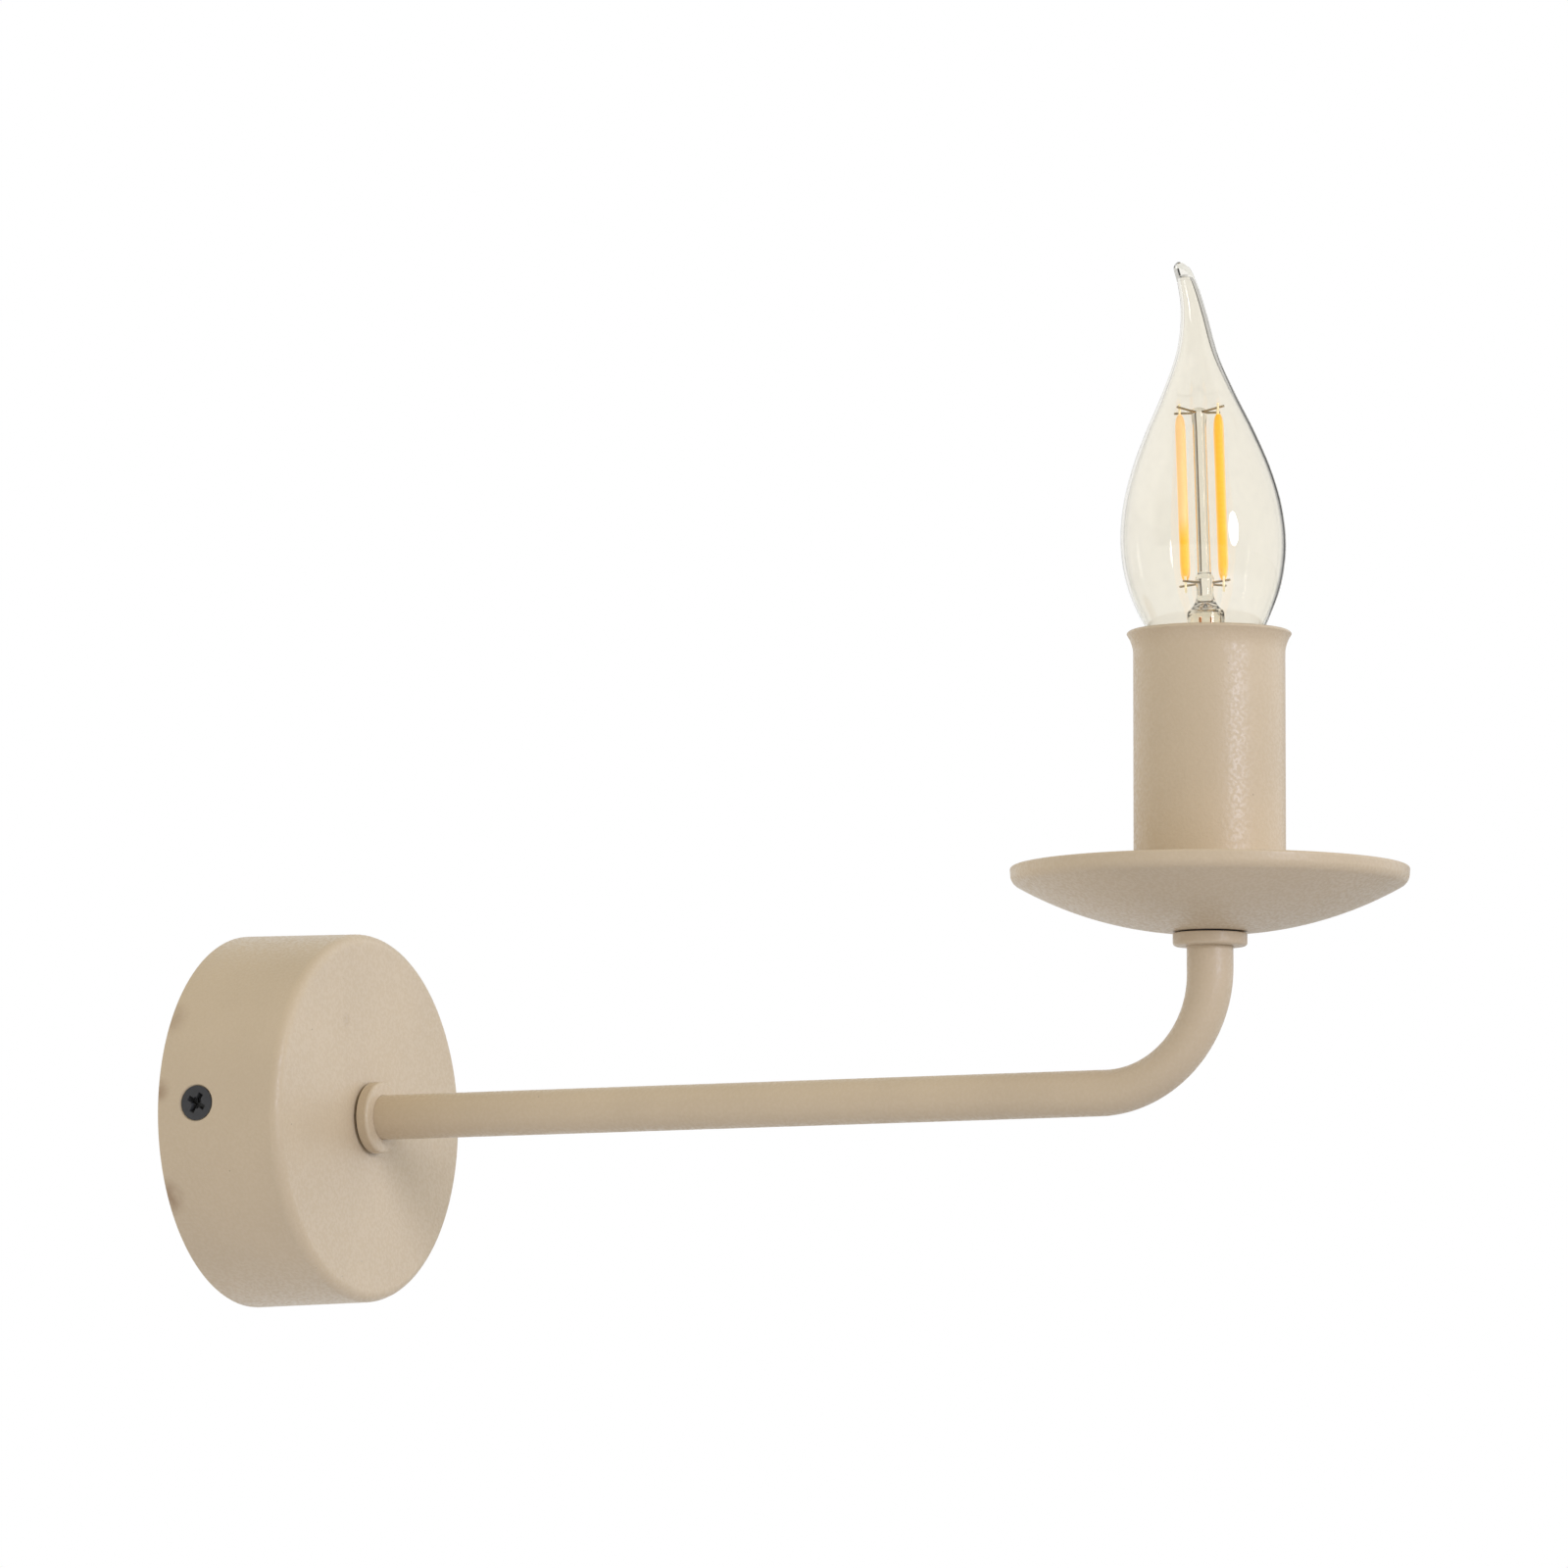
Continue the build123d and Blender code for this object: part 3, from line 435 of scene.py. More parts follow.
@dataclass(frozen=True)
class Moulded(Finish):
    """Moulded plastic or soft insulation with a faint eroded texture."""

    texture: float = 0.22 * MM
    relief: float = 0.006 * MM
    cloud: float = 6 * MM
    stripe: Union[Colour, None] = None

    def make(self) -> None:
        """Make the material; a stripe colours the half that lies at X over 0."""
        graph = self.graph()
        cloud = graph.noise(self.cloud, 3.0)
        grain = graph.noise(self.texture, 2.0)
        tone = graph.mix(cloud.rise(0.3, 0.7), self.shade(0.93), self.shade(1.06))
        if self.stripe:
            tone = graph.mix(graph.axis(0).rise(-SLIP, SLIP), tone, self.stripe)
        graph.surface(
            base_color=tone,
            roughness=self.roughness + (grain - 0.5) * 0.14,
            normal=graph.bump(grain, self.relief),
        )


@dataclass(frozen=True)
class BlownGlass(Finish):
    """Clear glass with the faint draw lines and ripple of blowing."""

    ior: float = 1.5
    ripple: float = 0.012 * MM
    ripple_length: float = 7 * MM
    film: float = 2.2 * MM
    film_rough: float = 0.02

    def make(self) -> None:
        """Make the material."""
        graph = self.graph()
        film = graph.noise(self.film, 3.0)
        graph.surface(
            base_color=graph.mix(film.rise(0.35, 0.75), self.colour, self.shade(0.985)),
            roughness=film.rise(0.6, 0.9) * self.film_rough + self.roughness,
            transmission_weight=1.0,
            ior=self.ior,
            normal=graph.bump(graph.noise(self.ripple_length, 1.0), self.ripple),
        )


@dataclass(frozen=True)
class Phosphor(Finish):
    """Yellow silicone over a row of tiny chips, cream at the ends, with a painted reflection that makes one
    pair of sticks pale towards the top, painted light that makes the sides facing across the view paler, and
    a painted glow.
    """

    # The colour of the painted reflection and of the painted light on the sides.
    pale: Colour = (1.0, 0.67, 0.36)
    cream: Colour = (0.9, 0.78, 0.5)
    painted_glow: float = 0.6
    chip_pitch: float = 1.25 * MM
    grain: float = 0.15 * MM
    relief: float = 0.01 * MM
    aside: Vector = Vector((-0.464, 0.886, 0.0))
    painted_reflection_across: Pair = (1.2 * MM, 1.8 * MM)
    painted_reflection_from: Pair = (117 * MM, 124 * MM)
    painted_reflection_share: float = 0.75
    ends: Pair = (110.4 * MM, 144.9 * MM)
    end_run: float = 0.5 * MM

    def make(self) -> None:
        """Make the material."""
        graph = self.graph()
        height = graph.axis(2)
        across = graph.along(self.aside) - CANDLE.dot(self.aside)
        facing = graph.vector("DOT_PRODUCT", graph.facing, self.aside)
        row = (height * (tau / self.chip_pitch)).maths("SINE")
        grain = graph.noise(self.grain, 2.0)
        # Painted reflection: the pair of sticks on one side turns paler above a height.
        painted_reflection = across.rise(*self.painted_reflection_across) * height.rise(*self.painted_reflection_from) * self.painted_reflection_share
        # Painted light: the sides that face across the view are paler.
        side = facing.rise(-0.45, -0.8) * 0.45 + facing.rise(0.6, 0.9) * 0.25
        bare = height.rise(self.ends[0], self.ends[0] - self.end_run)
        bare = bare.largest(height.rise(self.ends[1], self.ends[1] + self.end_run))
        tone = graph.mix(row.rise(0.3, 1.0) * 0.25, self.colour, self.shade(0.88))
        tone = graph.mix(grain.rise(0.5, 0.8) * 0.3, tone, self.shade(1.12))
        tone = graph.mix(bare, graph.mix(painted_reflection.largest(side), tone, self.pale), self.cream)
        graph.surface(
            base_color=tone,
            roughness=self.roughness + (grain - 0.5) * 0.1,
            emission_color=tone,
            # Painted glow: the sticks give off light in their own colour.
            emission_strength=self.painted_glow,
            normal=graph.bump(grain, self.relief),
        )


@dataclass(frozen=True)
class Cement(Finish):
    """Cured cement with coarse grains and pores."""

    grain: float = 0.5 * MM
    relief: float = 0.12 * MM
    pore_depth: float = 0.6

    def make(self) -> None:
        """Make the material."""
        graph = self.graph()
        grain = graph.noise(self.grain, 4.0, 0.7)
        pores = graph.specks(1.4 * MM, 0.3 * MM, 0.6) * self.pore_depth
        tone = graph.mix(grain.rise(0.3, 0.75), self.shade(0.8), self.shade(1.15))
        graph.surface(
            # Painted shade: the pores are darker, as pits in shade.
            base_color=graph.mix(pores, tone, self.shade(0.4)),
            roughness=self.roughness + (grain - 0.5) * 0.1,
            normal=graph.bump(grain - pores, self.relief),
        )


@dataclass(frozen=True)
class LacqueredBoard(Finish):
    """A circuit board: tracks under green lacquer and bright pads."""

    track: Colour = (0.16, 0.42, 0.18)
    track_pitch: float = 1.6 * MM
    track_length: float = 3.2 * MM
    pad: Colour = (0.72, 0.7, 0.64)
    relief: float = 0.04 * MM

    def make(self) -> None:
        """Make the material."""
        graph = self.graph()
        lanes = (graph.axis(0) * (tau / self.track_pitch)).maths("SINE")
        tracks = lanes.rise(0.1, 0.3) * graph.noise(self.track_length, 0.0).rise(0.42, 0.46)
        pads = graph.specks(2.6 * MM, 0.5 * MM, 0.45)
        graph.surface(
            base_color=graph.mix(pads, graph.mix(tracks, self.colour, self.track), self.pad),
            metallic=pads * 0.9,
            roughness=self.roughness - pads * 0.1,
            normal=graph.bump(tracks * 0.4 + pads, self.relief),
        )


SAND_COAT = PowderCoat("sand_coat", paint(201, 181, 151), 0.47)
BLACK_ZINC = PlatedMetal("black_zinc", paint(70, 70, 71), 0.42, tarnish=(0.03, 0.03, 0.03), metallic=0.3)
ZINC_STEEL = PlatedMetal("zinc_steel", paint(200, 200, 196), 0.34, tarnish=(0.5, 0.46, 0.36))
BRASS = PlatedMetal("brass", paint(214, 178, 104), 0.28, tarnish=(0.42, 0.26, 0.1))
NICKEL = PlatedMetal("nickel", paint(208, 204, 196), 0.22, tarnish=(0.5, 0.46, 0.4), tarnish_share=0.15)
FILAMENT_WIRE = PlatedMetal("filament_wire", paint(178, 162, 130), 0.36, grain=0.2 * MM)
COPPER = PlatedMetal("copper", paint(214, 150, 108), 0.3, tarnish=(0.3, 0.12, 0.05))
WHITE_PLASTIC = Moulded("white_plastic", paint(226, 223, 214), 0.45)
BLACK_PLASTIC = Moulded("black_plastic", paint(40, 40, 42), 0.5)
BROWN_INSULATION = Moulded("brown_insulation", paint(104, 66, 40), 0.36, relief=0.003 * MM)
BLUE_INSULATION = Moulded("blue_insulation", paint(40, 98, 178), 0.36, relief=0.003 * MM)
GREEN_INSULATION = Moulded(
    "green_insulation", paint(66, 150, 62), 0.36, relief=0.003 * MM, stripe=paint(236, 210, 60)
)
BULB_GLASS = BlownGlass("bulb_glass", paint(249, 246, 238), 0.0)
STEM_GLASS = BlownGlass("stem_glass", paint(250, 247, 239), 0.0, ripple=0.02 * MM, ripple_length=2.5 * MM)
BLACK_GLASS = Moulded("black_glass", paint(34, 33, 36), 0.12, relief=0.002 * MM)
PHOSPHOR = Phosphor("phosphor", paint(255, 192, 40), 0.4)
CEMENT = Cement("cement", paint(196, 184, 160), 0.85)
CIRCUIT_BOARD = LacqueredBoard("circuit_board", paint(40, 112, 58), 0.35)


@dataclass
class Outline:
    """Half of a turned piece: points as radius, height and the radius of the corner there."""

    points: list[Triple] = field(default_factory=list)

    def to(self, radius: float, height: float, corner: float = 0.0, steps: int = 1) -> "Outline":
        """Go straight to a point.

        Args:
            radius, height: the point.
            corner: the radius that rounds the point off.
            steps: how many equal pieces the run is divided into.

        Returns:
            This outline.
        """
        start = self.points[-1] if self.points else (radius, height)
        for step in range(1, steps):
            spot = (a + (b - a) * step / steps for a, b in zip(start, (radius, height)))
            self.points.append((*spot, 0.0))
        self.points.append((radius, height, corner))
        return self

    def follow(self, points: Sequence[Pair]) -> "Outline":
        """Go straight from point to point.

        Args:
            points: the points as radius and height.

        Returns:
            This outline.
        """
        for point in points:
            self.to(*point)
        return self

    def through(self, points: Sequence[Pair], steps: int) -> "Outline":
        """Go on along a smooth curve through points; the first one joins with a straight run.

        Args:
            points: the points as radius and height.
            steps: how many pieces lie between two points.

        Returns:
            This outline.
        """
        knots = [Vector((*point, 0.0)) for point in points]
        slopes = [(b - a) / 2 for a, b in zip(knots[:1] + knots[:-1], knots[1:] + knots[-1:])]
        self.to(*points[0])
        for index in range(len(knots) - 1):
            start, end = knots[index], knots[index + 1]
            handles = (start + slopes[index] / 3, end - slopes[index + 1] / 3)
            for spot in interpolate_bezier(start, *handles, end, steps + 1)[1:]:
                self.to(spot.x, spot.y)
        return self


def sweep_points(middle: Sequence[float], radius: float, start: float, end: float, steps: int) -> list[Pair]:
    """Points on an arc as radius and height; its angles turn from the outward direction towards up."""
    angles = [start + (end - start) * step / steps for step in range(steps + 1)]
    return [(middle[0] + radius * cos(a), middle[1] + radius * sin(a)) for a in angles]


def along(point: Vector, direction: Vector) -> Matrix:
    """The place of a shape whose origin is a point and whose Z axis is a direction."""
    return Matrix.Translation(point) @ direction.to_track_quat("Z", "Y").to_matrix().to_4x4()


class Shape:
    """A mesh in the making, with the few operators that this lamp needs."""

    ROD_SIDES = 12
    ROD_RIM = radians(60.0)
    ROD_EDGE = 0.08 * MM
    BLOCK_TAPER = 0.6

    def __init__(self) -> None:
        """Start with an empty mesh."""
        self.mesh = bmesh.new()

    def turn(
        self, outline: Outline, closed: bool = True, steps: int = 96, place: Matrix = Matrix()
    ) -> "Shape":
        """Spin an outline about the Z axis and put the result in its place.

        Args:
            outline: the outline to spin.
            closed: whether its last point joins its first.
            steps: how many pieces the circle has.
            place: where the shape's own origin and Z axis go.

        Returns:
            This shape.
        """
        part = bmesh.new()
        spots = [part.verts.new((radius, 0.0, height)) for radius, height, _ in outline.points]
        for first, second in zip(spots, spots[1:] + spots[:1] if closed else spots[1:]):
            part.edges.new((first, second))
        for spot, (_, _, corner) in zip(spots, outline.points):
            if corner:
                sides = [edge.other_vert(spot).co - spot.co for edge in spot.link_edges]
                reach = corner / tan(sides[0].angle(sides[1]) / 2)
                bmesh.ops.bevel(part, geom=[spot], offset=reach, segments=7, **ROUND)
        bmesh.ops.spin(
            part, geom=part.verts[:] + part.edges[:], cent=(0, 0, 0), axis=(0, 0, 1),
            angle=tau, steps=steps, use_merge=True,
        )
        bmesh.ops.remove_doubles(part, verts=part.verts, dist=MERGE)
        bmesh.ops.recalc_face_normals(part, faces=part.faces)
        if part.calc_volume(signed=True) < 0:
            bmesh.ops.reverse_faces(part, faces=part.faces)
        return self._take(part, place)

    def rod(self, radius: float, start: Vector, end: Vector) -> None:
        """Add a round rod with softened ends.

        Args:
            radius: the rod's radius.
            start, end: the middles of its ends.
        """
        part = bmesh.new()
        bmesh.ops.create_cone(
            part, cap_ends=True, segments=self.ROD_SIDES, radius1=radius, radius2=radius,
            depth=(end - start).length,
        )
        rims = [edge for edge in part.edges if edge.calc_face_angle(0.0) > self.ROD_RIM]
        bmesh.ops.bevel(part, geom=rims, offset=self.ROD_EDGE, segments=3, **BEVEL)
        self._take(part, along((start + end) / 2, end - start))

    def block(self, size: Sequence[float], place: Matrix) -> None:
        """Add a block whose lower end is narrower.

        Args:
            size: its size along its own axes.
            place: where its middle and axes go.
        """
        part = bmesh.new()
        bmesh.ops.create_cube(part, size=1.0, matrix=Matrix.Diagonal((*size, 1.0)))
        low = [spot for spot in part.verts if spot.co.z < 0]
        bmesh.ops.scale(part, vec=(self.BLOCK_TAPER, self.BLOCK_TAPER, 1.0), verts=low)
        self._take(part, place)

    def _take(self, part: BMesh, place: Matrix) -> "Shape":
        """Move a part to its place and join it to this shape.

        Args:
            part: the part, which is used up.
            place: its place.

        Returns:
            This shape.
        """
        bmesh.ops.transform(part, matrix=place, verts=part.verts)
        scratch = bpy.data.meshes.new("scratch")
        part.to_mesh(scratch)
        part.free()
        self.mesh.from_mesh(scratch)
        bpy.data.meshes.remove(scratch)
        return self

    def move(self, change: Callable[[Vector], Vector]) -> None:
        """Move each point to where a function says."""
        for spot in self.mesh.verts:
            spot.co = change(spot.co)

    def cut(self, cutter: "Shape") -> "Shape":
        """Take another shape away from this one.

        Args:
            cutter: the other shape, whose own parts may cross each other. It is used up.

        Returns:
            This shape.
        """
        target, tool = self.loose("target"), cutter.loose("cutter")
        modifier = target.modifiers.new("cut", "BOOLEAN")
        modifier.operation = "DIFFERENCE"
        modifier.solver = "EXACT"
        modifier.use_self = True
        modifier.object = tool
        view = bpy.context.evaluated_depsgraph_get()
        carved = bpy.data.meshes.new_from_object(target.evaluated_get(view))
        self.mesh = bmesh.new()
        self.mesh.from_mesh(carved)
        for spare in (target.data, tool.data, carved):
            bpy.data.meshes.remove(spare)
        return self

    def loose(self, name: str) -> Object:
        """Use the shape up and make it an object of its own.

        Args:
            name: the object's name.

        Returns:
            The object.
        """
        mesh = bpy.data.meshes.new(name)
        self.mesh.to_mesh(mesh)
        self.mesh.free()
        made = bpy.data.objects.new(name, mesh)
        bpy.context.scene.collection.objects.link(made)
        return made

    def piece(
        self, name: str, body: Body, finish: Finish, nodes: Sequence[str] = (),
        sharp: float = 38.0, even: bool = True,
    ) -> None:
        """Turn the shape into a finished piece of the lamp.

        Args:
            name: the piece's name.
            body: the body that it rides on.
            finish: its surface.
            nodes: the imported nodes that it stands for.
            sharp: edges over this many degrees stay sharp.
            even: whether large faces keep their shading flat next to small ones.
        """
        made = self.loose(name)
        for face in made.data.polygons:
            face.use_smooth = True
        made.data.set_sharp_from_angle(angle=radians(sharp))
        if even:
            made.modifiers.new("even shading", "WEIGHTED_NORMAL").keep_sharp = True
        made.data.materials.append(finish.material())
        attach(made, body.value)
        if nodes:
            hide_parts(*nodes)
        log.info("%s: %d faces, %s", name, len(made.data.polygons), finish.slot)


def dress(finish: Finish, *nodes: str) -> None:
    """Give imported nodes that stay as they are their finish.

    Args:
        finish: the finish.
        nodes: the nodes' names.
    """
    for node in nodes:
        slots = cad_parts[node].data.materials
        slots.clear()
        slots.append(finish.material())
        log.info("%s: packed shape, %s", node, finish.slot)


def soften_node(node: str, finish: Finish, width: float, body: Body = Body.LAMP) -> None:
    """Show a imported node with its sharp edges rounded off.

    Args:
        node: the node, whose triangles are first joined into whole faces.
        finish: its surface.
        width: how far the rounding reaches.
        body: the body that it rides on.
    """
    shape = Shape()
    mesh = shape.mesh
    mesh.from_mesh(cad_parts[node].data)
    bmesh.ops.remove_doubles(mesh, verts=mesh.verts, dist=MERGE * 10)
    bmesh.ops.dissolve_limit(mesh, angle_limit=FLAT, verts=mesh.verts, edges=mesh.edges)
    edges = [edge for edge in mesh.edges if edge.is_manifold and edge.calc_face_angle(0.0) > SHARP]
    bmesh.ops.bevel(mesh, geom=edges, offset=width, segments=2, **BEVEL)
    bmesh.ops.dissolve_degenerate(mesh, dist=MERGE, edges=mesh.edges)
    shape.piece(node + "_soft", body, finish, [node])


def turned_ring(
    name: str, node: str, finish: Finish, corner: float, direction: Vector, short: float = 0.0
) -> None:
    """Make a collar or washer on the arm, with rounded outer edges, that fills its node's box.

    Args:
        name: the piece's name.
        node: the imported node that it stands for.
        finish: its surface.
        corner: the radius of its outer edge; the edge at its seat is finer.
        direction: its axis, away from its seat.
        short: how far its upper end stays below the box.
    """
    box = Box.of(node)
    box = Box(box.low, box.high - UP * short)
    half = abs(box.size.dot(direction)) / 2
    radius = max(box.size) / 2
    outline = Outline().to(TUBE_HOLE, -half).to(radius, -half, 0.3 * corner)
    outline.to(radius, half, corner).to(TUBE_HOLE, half)
    shape = Shape().turn(outline, place=along(box.centre, direction))
    shape.piece(name, Body.LAMP, finish, [node])


@dataclass(frozen=True)
class Thread:
    """A rounded right-hand thread in the walls of a piece that is turned about the candle's axis.

    Its ends are its lowest and highest level, and its walls the least and largest radius that it takes in.
    """

    ends: Pair
    walls: Pair
    run_out: RunOut
    pitch: float = 2.822 * MM
    depth: float = 0.4 * MM

    def rolled(self, spot: Vector) -> Vector:
        """Roll one point.

        Args:
            spot: the point of the plain wall.

        Returns:
            Where it lies after rolling.
        """
        (low, high), (inner, outer) = self.ends, self.walls
        arm = Vector((spot.x - CANDLE.x, spot.y - CANDLE.y, 0.0))
        if not (inner < arm.length < outer and low <= spot.z <= high):
            return spot
        full = max(0.0, min(1.0, min(spot.z - low, high - spot.z) / self.pitch))
        full = full * full * (3 - 2 * full)
        wave = cos(tau * spot.z / self.pitch - atan2(arm.y, arm.x))
        return spot + arm.normalized() * self.depth * (wave * full + self.run_out.value * (1 - full))


@dataclass
class Canopy:
    """The round cup on the wall, with its side screws and what it hides."""

    wall: float = 1.0 * MM
    taper: float = 0.6 * MM
    edge: float = 2.5 * MM
    rim: float = 0.35 * MM
    screw_turn: float = 2.1
    screw_sink: float = 0.2 * MM
    head_radius: float = 4.0 * MM
    head_gap: float = 0.2 * MM
    head_edge: float = 0.12 * MM
    head_crown: float = 0.06 * MM
    shank_radius: float = 2.0 * MM
    tip_share: float = 0.8
    tip_length: float = 1.0 * MM
    screw_length: float = 10.0 * MM
    hole_ends: Pair = (-6 * MM, 3 * MM)
    recess: Triple = (5.9 * MM, 1.5 * MM, 1.9 * MM)
    tick: Triple = (3.4 * MM, 0.7 * MM, 0.9 * MM)
    recess_turn: float = 60.0
    collar_edge: float = 0.7 * MM
    washer_edge: float = 0.15 * MM

    def __post_init__(self) -> None:
        """Read the cup's sizes and the screws' seats from the frame."""
        cup = Box.of("canopy_cup")
        self.back_radius = cup.size.x / 2
        self.front_radius = self.back_radius - self.taper
        self.depth = cup.size.y
        self.neck = self.shank_radius - self.head_radius
        from_wall = -Box.of("canopy_side_screws").centre.y
        seat = self.back_radius - self.taper * from_wall / self.depth - self.screw_sink
        turn = radians(self.screw_turn)
        self.seats = []
        for side in (-1, 1):
            outward = Vector((side * cos(turn), 0, -side * sin(turn)))
            self.seats.append(along(outward * seat + OUT * from_wall, outward))

    def build(self) -> None:
        """Make and dress every piece of the canopy."""
        self.cup()
        self.side_screws()
        turned_ring("canopy_collar_ring", "canopy_collar", SAND_COAT, self.collar_edge, OUT)
        turned_ring("canopy_washer_ring", "canopy_lock_washer", BLACK_ZINC, self.washer_edge, OUT)
        soften_node("wall_bracket", ZINC_STEEL, 0.18 * MM)
        soften_node("terminal_block", WHITE_PLASTIC, 0.25 * MM)
        soften_node("canopy_lock_nut", ZINC_STEEL, 0.15 * MM)
        soften_node("earth_tag", BRASS, 0.1 * MM)
        soften_node("terminal_block_screws", ZINC_STEEL, 0.12 * MM)
        soften_node("terminal_clamp_screws", ZINC_STEEL, 0.08 * MM)
        dress(BRASS, "terminal_tubes")
        dress(GREEN_INSULATION, "earth_wire")

    def cup(self) -> None:
        """The spun steel cup with its countersunk holes."""
        floor = self.depth - self.wall
        back, front = self.back_radius, self.front_radius
        outline = Outline().to(back - self.wall, 0.0, self.rim).to(back, 0.0, self.rim)
        outline.to(front, self.depth, self.edge).to(TUBE_HOLE, self.depth)
        outline.to(TUBE_HOLE, floor).to(front - self.wall, floor, self.edge - self.wall)
        shape = Shape().turn(outline, steps=160, place=along(Vector(), OUT))
        low, high = self.hole_ends
        bore, mouth = self.shank_radius + self.head_gap, self.head_radius + self.head_gap
        hole = Outline().to(0.0, low).to(bore, low).to(bore, self.neck)
        hole.to(mouth, 0.0).to(mouth, high).to(0.0, high)
        holes = Shape()
        for seat in self.seats:
            holes.turn(hole, closed=False, steps=48, place=seat)
        shape.cut(holes).piece("canopy_shell", Body.LAMP, SAND_COAT, ["canopy_cup"])

    def side_screws(self) -> None:
        """Two countersunk screws with a cross recess, in one piece."""
        shape, recess = Shape(), Shape()
        tip = -self.screw_length
        screw = Outline().to(0.0, tip).to(self.shank_radius * self.tip_share, tip)
        screw.to(self.shank_radius, tip + self.tip_length).to(self.shank_radius, self.neck)
        screw.to(self.head_radius, 0.0, self.head_edge).to(0.0, self.head_crown)
        for seat in self.seats:
            shape.turn(screw, closed=False, steps=64, place=seat)
            for (length, width, depth), first in ((self.recess, 0.0), (self.tick, pi / 4)):
                for quarter in range(2):
                    turn = radians(self.recess_turn + 90 * quarter) + first
                    recess.block((length, width, 2 * depth), seat @ Matrix.Rotation(turn, 4, "Z"))
        shape.cut(recess).piece("side_screws", Body.LAMP, BLACK_ZINC, ["canopy_side_screws"])


@dataclass
class Arm:
    """The bent tube with its liners and wires."""

    wall: float = 1.0 * MM
    bend_radius: float = 25.5 * MM
    flattening: float = 0.4 * MM
    sides: int = 64
    bend_steps: int = 40

    def build(self) -> None:
        """Make and dress every piece of the arm."""
        self.tube()
        soften_node("tube_bushes", BLACK_PLASTIC, 0.2 * MM)
        dress(BROWN_INSULATION, "live_wire")
        dress(BLUE_INSULATION, "neutral_wire")

    def tube(self) -> None:
        """A straight run, a slightly squashed quarter bend and a riser, with a wall."""
        box = Box.of("arm_tube")
        radius = box.size.x / 2
        bend = Vector((0, CANDLE.y + self.bend_radius, self.bend_radius))
        shape = Shape()
        mesh = shape.mesh
        start = along(Vector((0, box.high.y, 0)), OUT)
        bmesh.ops.create_circle(mesh, radius=radius, segments=self.sides, matrix=start)
        ring = self._run(mesh, mesh.edges[:], Vector((0, bend.y - box.high.y, 0)))
        turned = bmesh.ops.spin(
            mesh, geom=ring + list({v for e in ring for v in e.verts}), cent=bend, axis=(-1, 0, 0),
            angle=pi / 2, steps=self.bend_steps,
        )
        ring = [item for item in turned["geom_last"] if isinstance(item, BMEdge)]
        self._run(mesh, ring, Vector((0, 0, box.high.z - self.bend_radius)))
        shape.move(lambda spot: self._squashed(spot, bend, radius))
        bmesh.ops.remove_doubles(mesh, verts=mesh.verts, dist=MERGE)
        bmesh.ops.recalc_face_normals(mesh, faces=mesh.faces)
        bmesh.ops.solidify(mesh, geom=mesh.faces[:], thickness=self.wall)
        shape.piece("arm_pipe", Body.LAMP, SAND_COAT, ["arm_tube"], even=False)

    @staticmethod
    def _run(mesh: BMesh, ring: list, run: Vector) -> list:
        """Extrude a ring of edges.

        Args:
            mesh: the mesh.
            ring: the edges.
            run: how far they go.

        Returns:
            The new ring.
        """
        made = bmesh.ops.extrude_edge_only(mesh, edges=ring)["geom"]
        ends = {item for item in made if isinstance(item, BMVert)}
        bmesh.ops.translate(mesh, vec=run, verts=list(ends))
        return [e for e in made if isinstance(e, BMEdge) and set(e.verts) <= ends]

    def _squashed(self, spot: Vector, bend: Vector, radius: float) -> Vector:
        """A point of the tube after the bend has been squashed a little in its own plane.

        Args:
            spot: the point.
            bend: the bend's centre.
            radius: the tube's radius.

        Returns:
            Where the point lies then.
        """
        arm = Vector((0, spot.y - bend.y, spot.z - bend.z))
        if arm.y > 0 or arm.z > 0:
            return spot
        angle = atan2(-arm.y, -arm.z)
        narrow = 1 - self.flattening * sin(2 * angle) / radius
        reach = self.bend_radius + (arm.length - self.bend_radius) * narrow
        return Vector((spot.x, bend.y, bend.z)) + arm.normalized() * reach


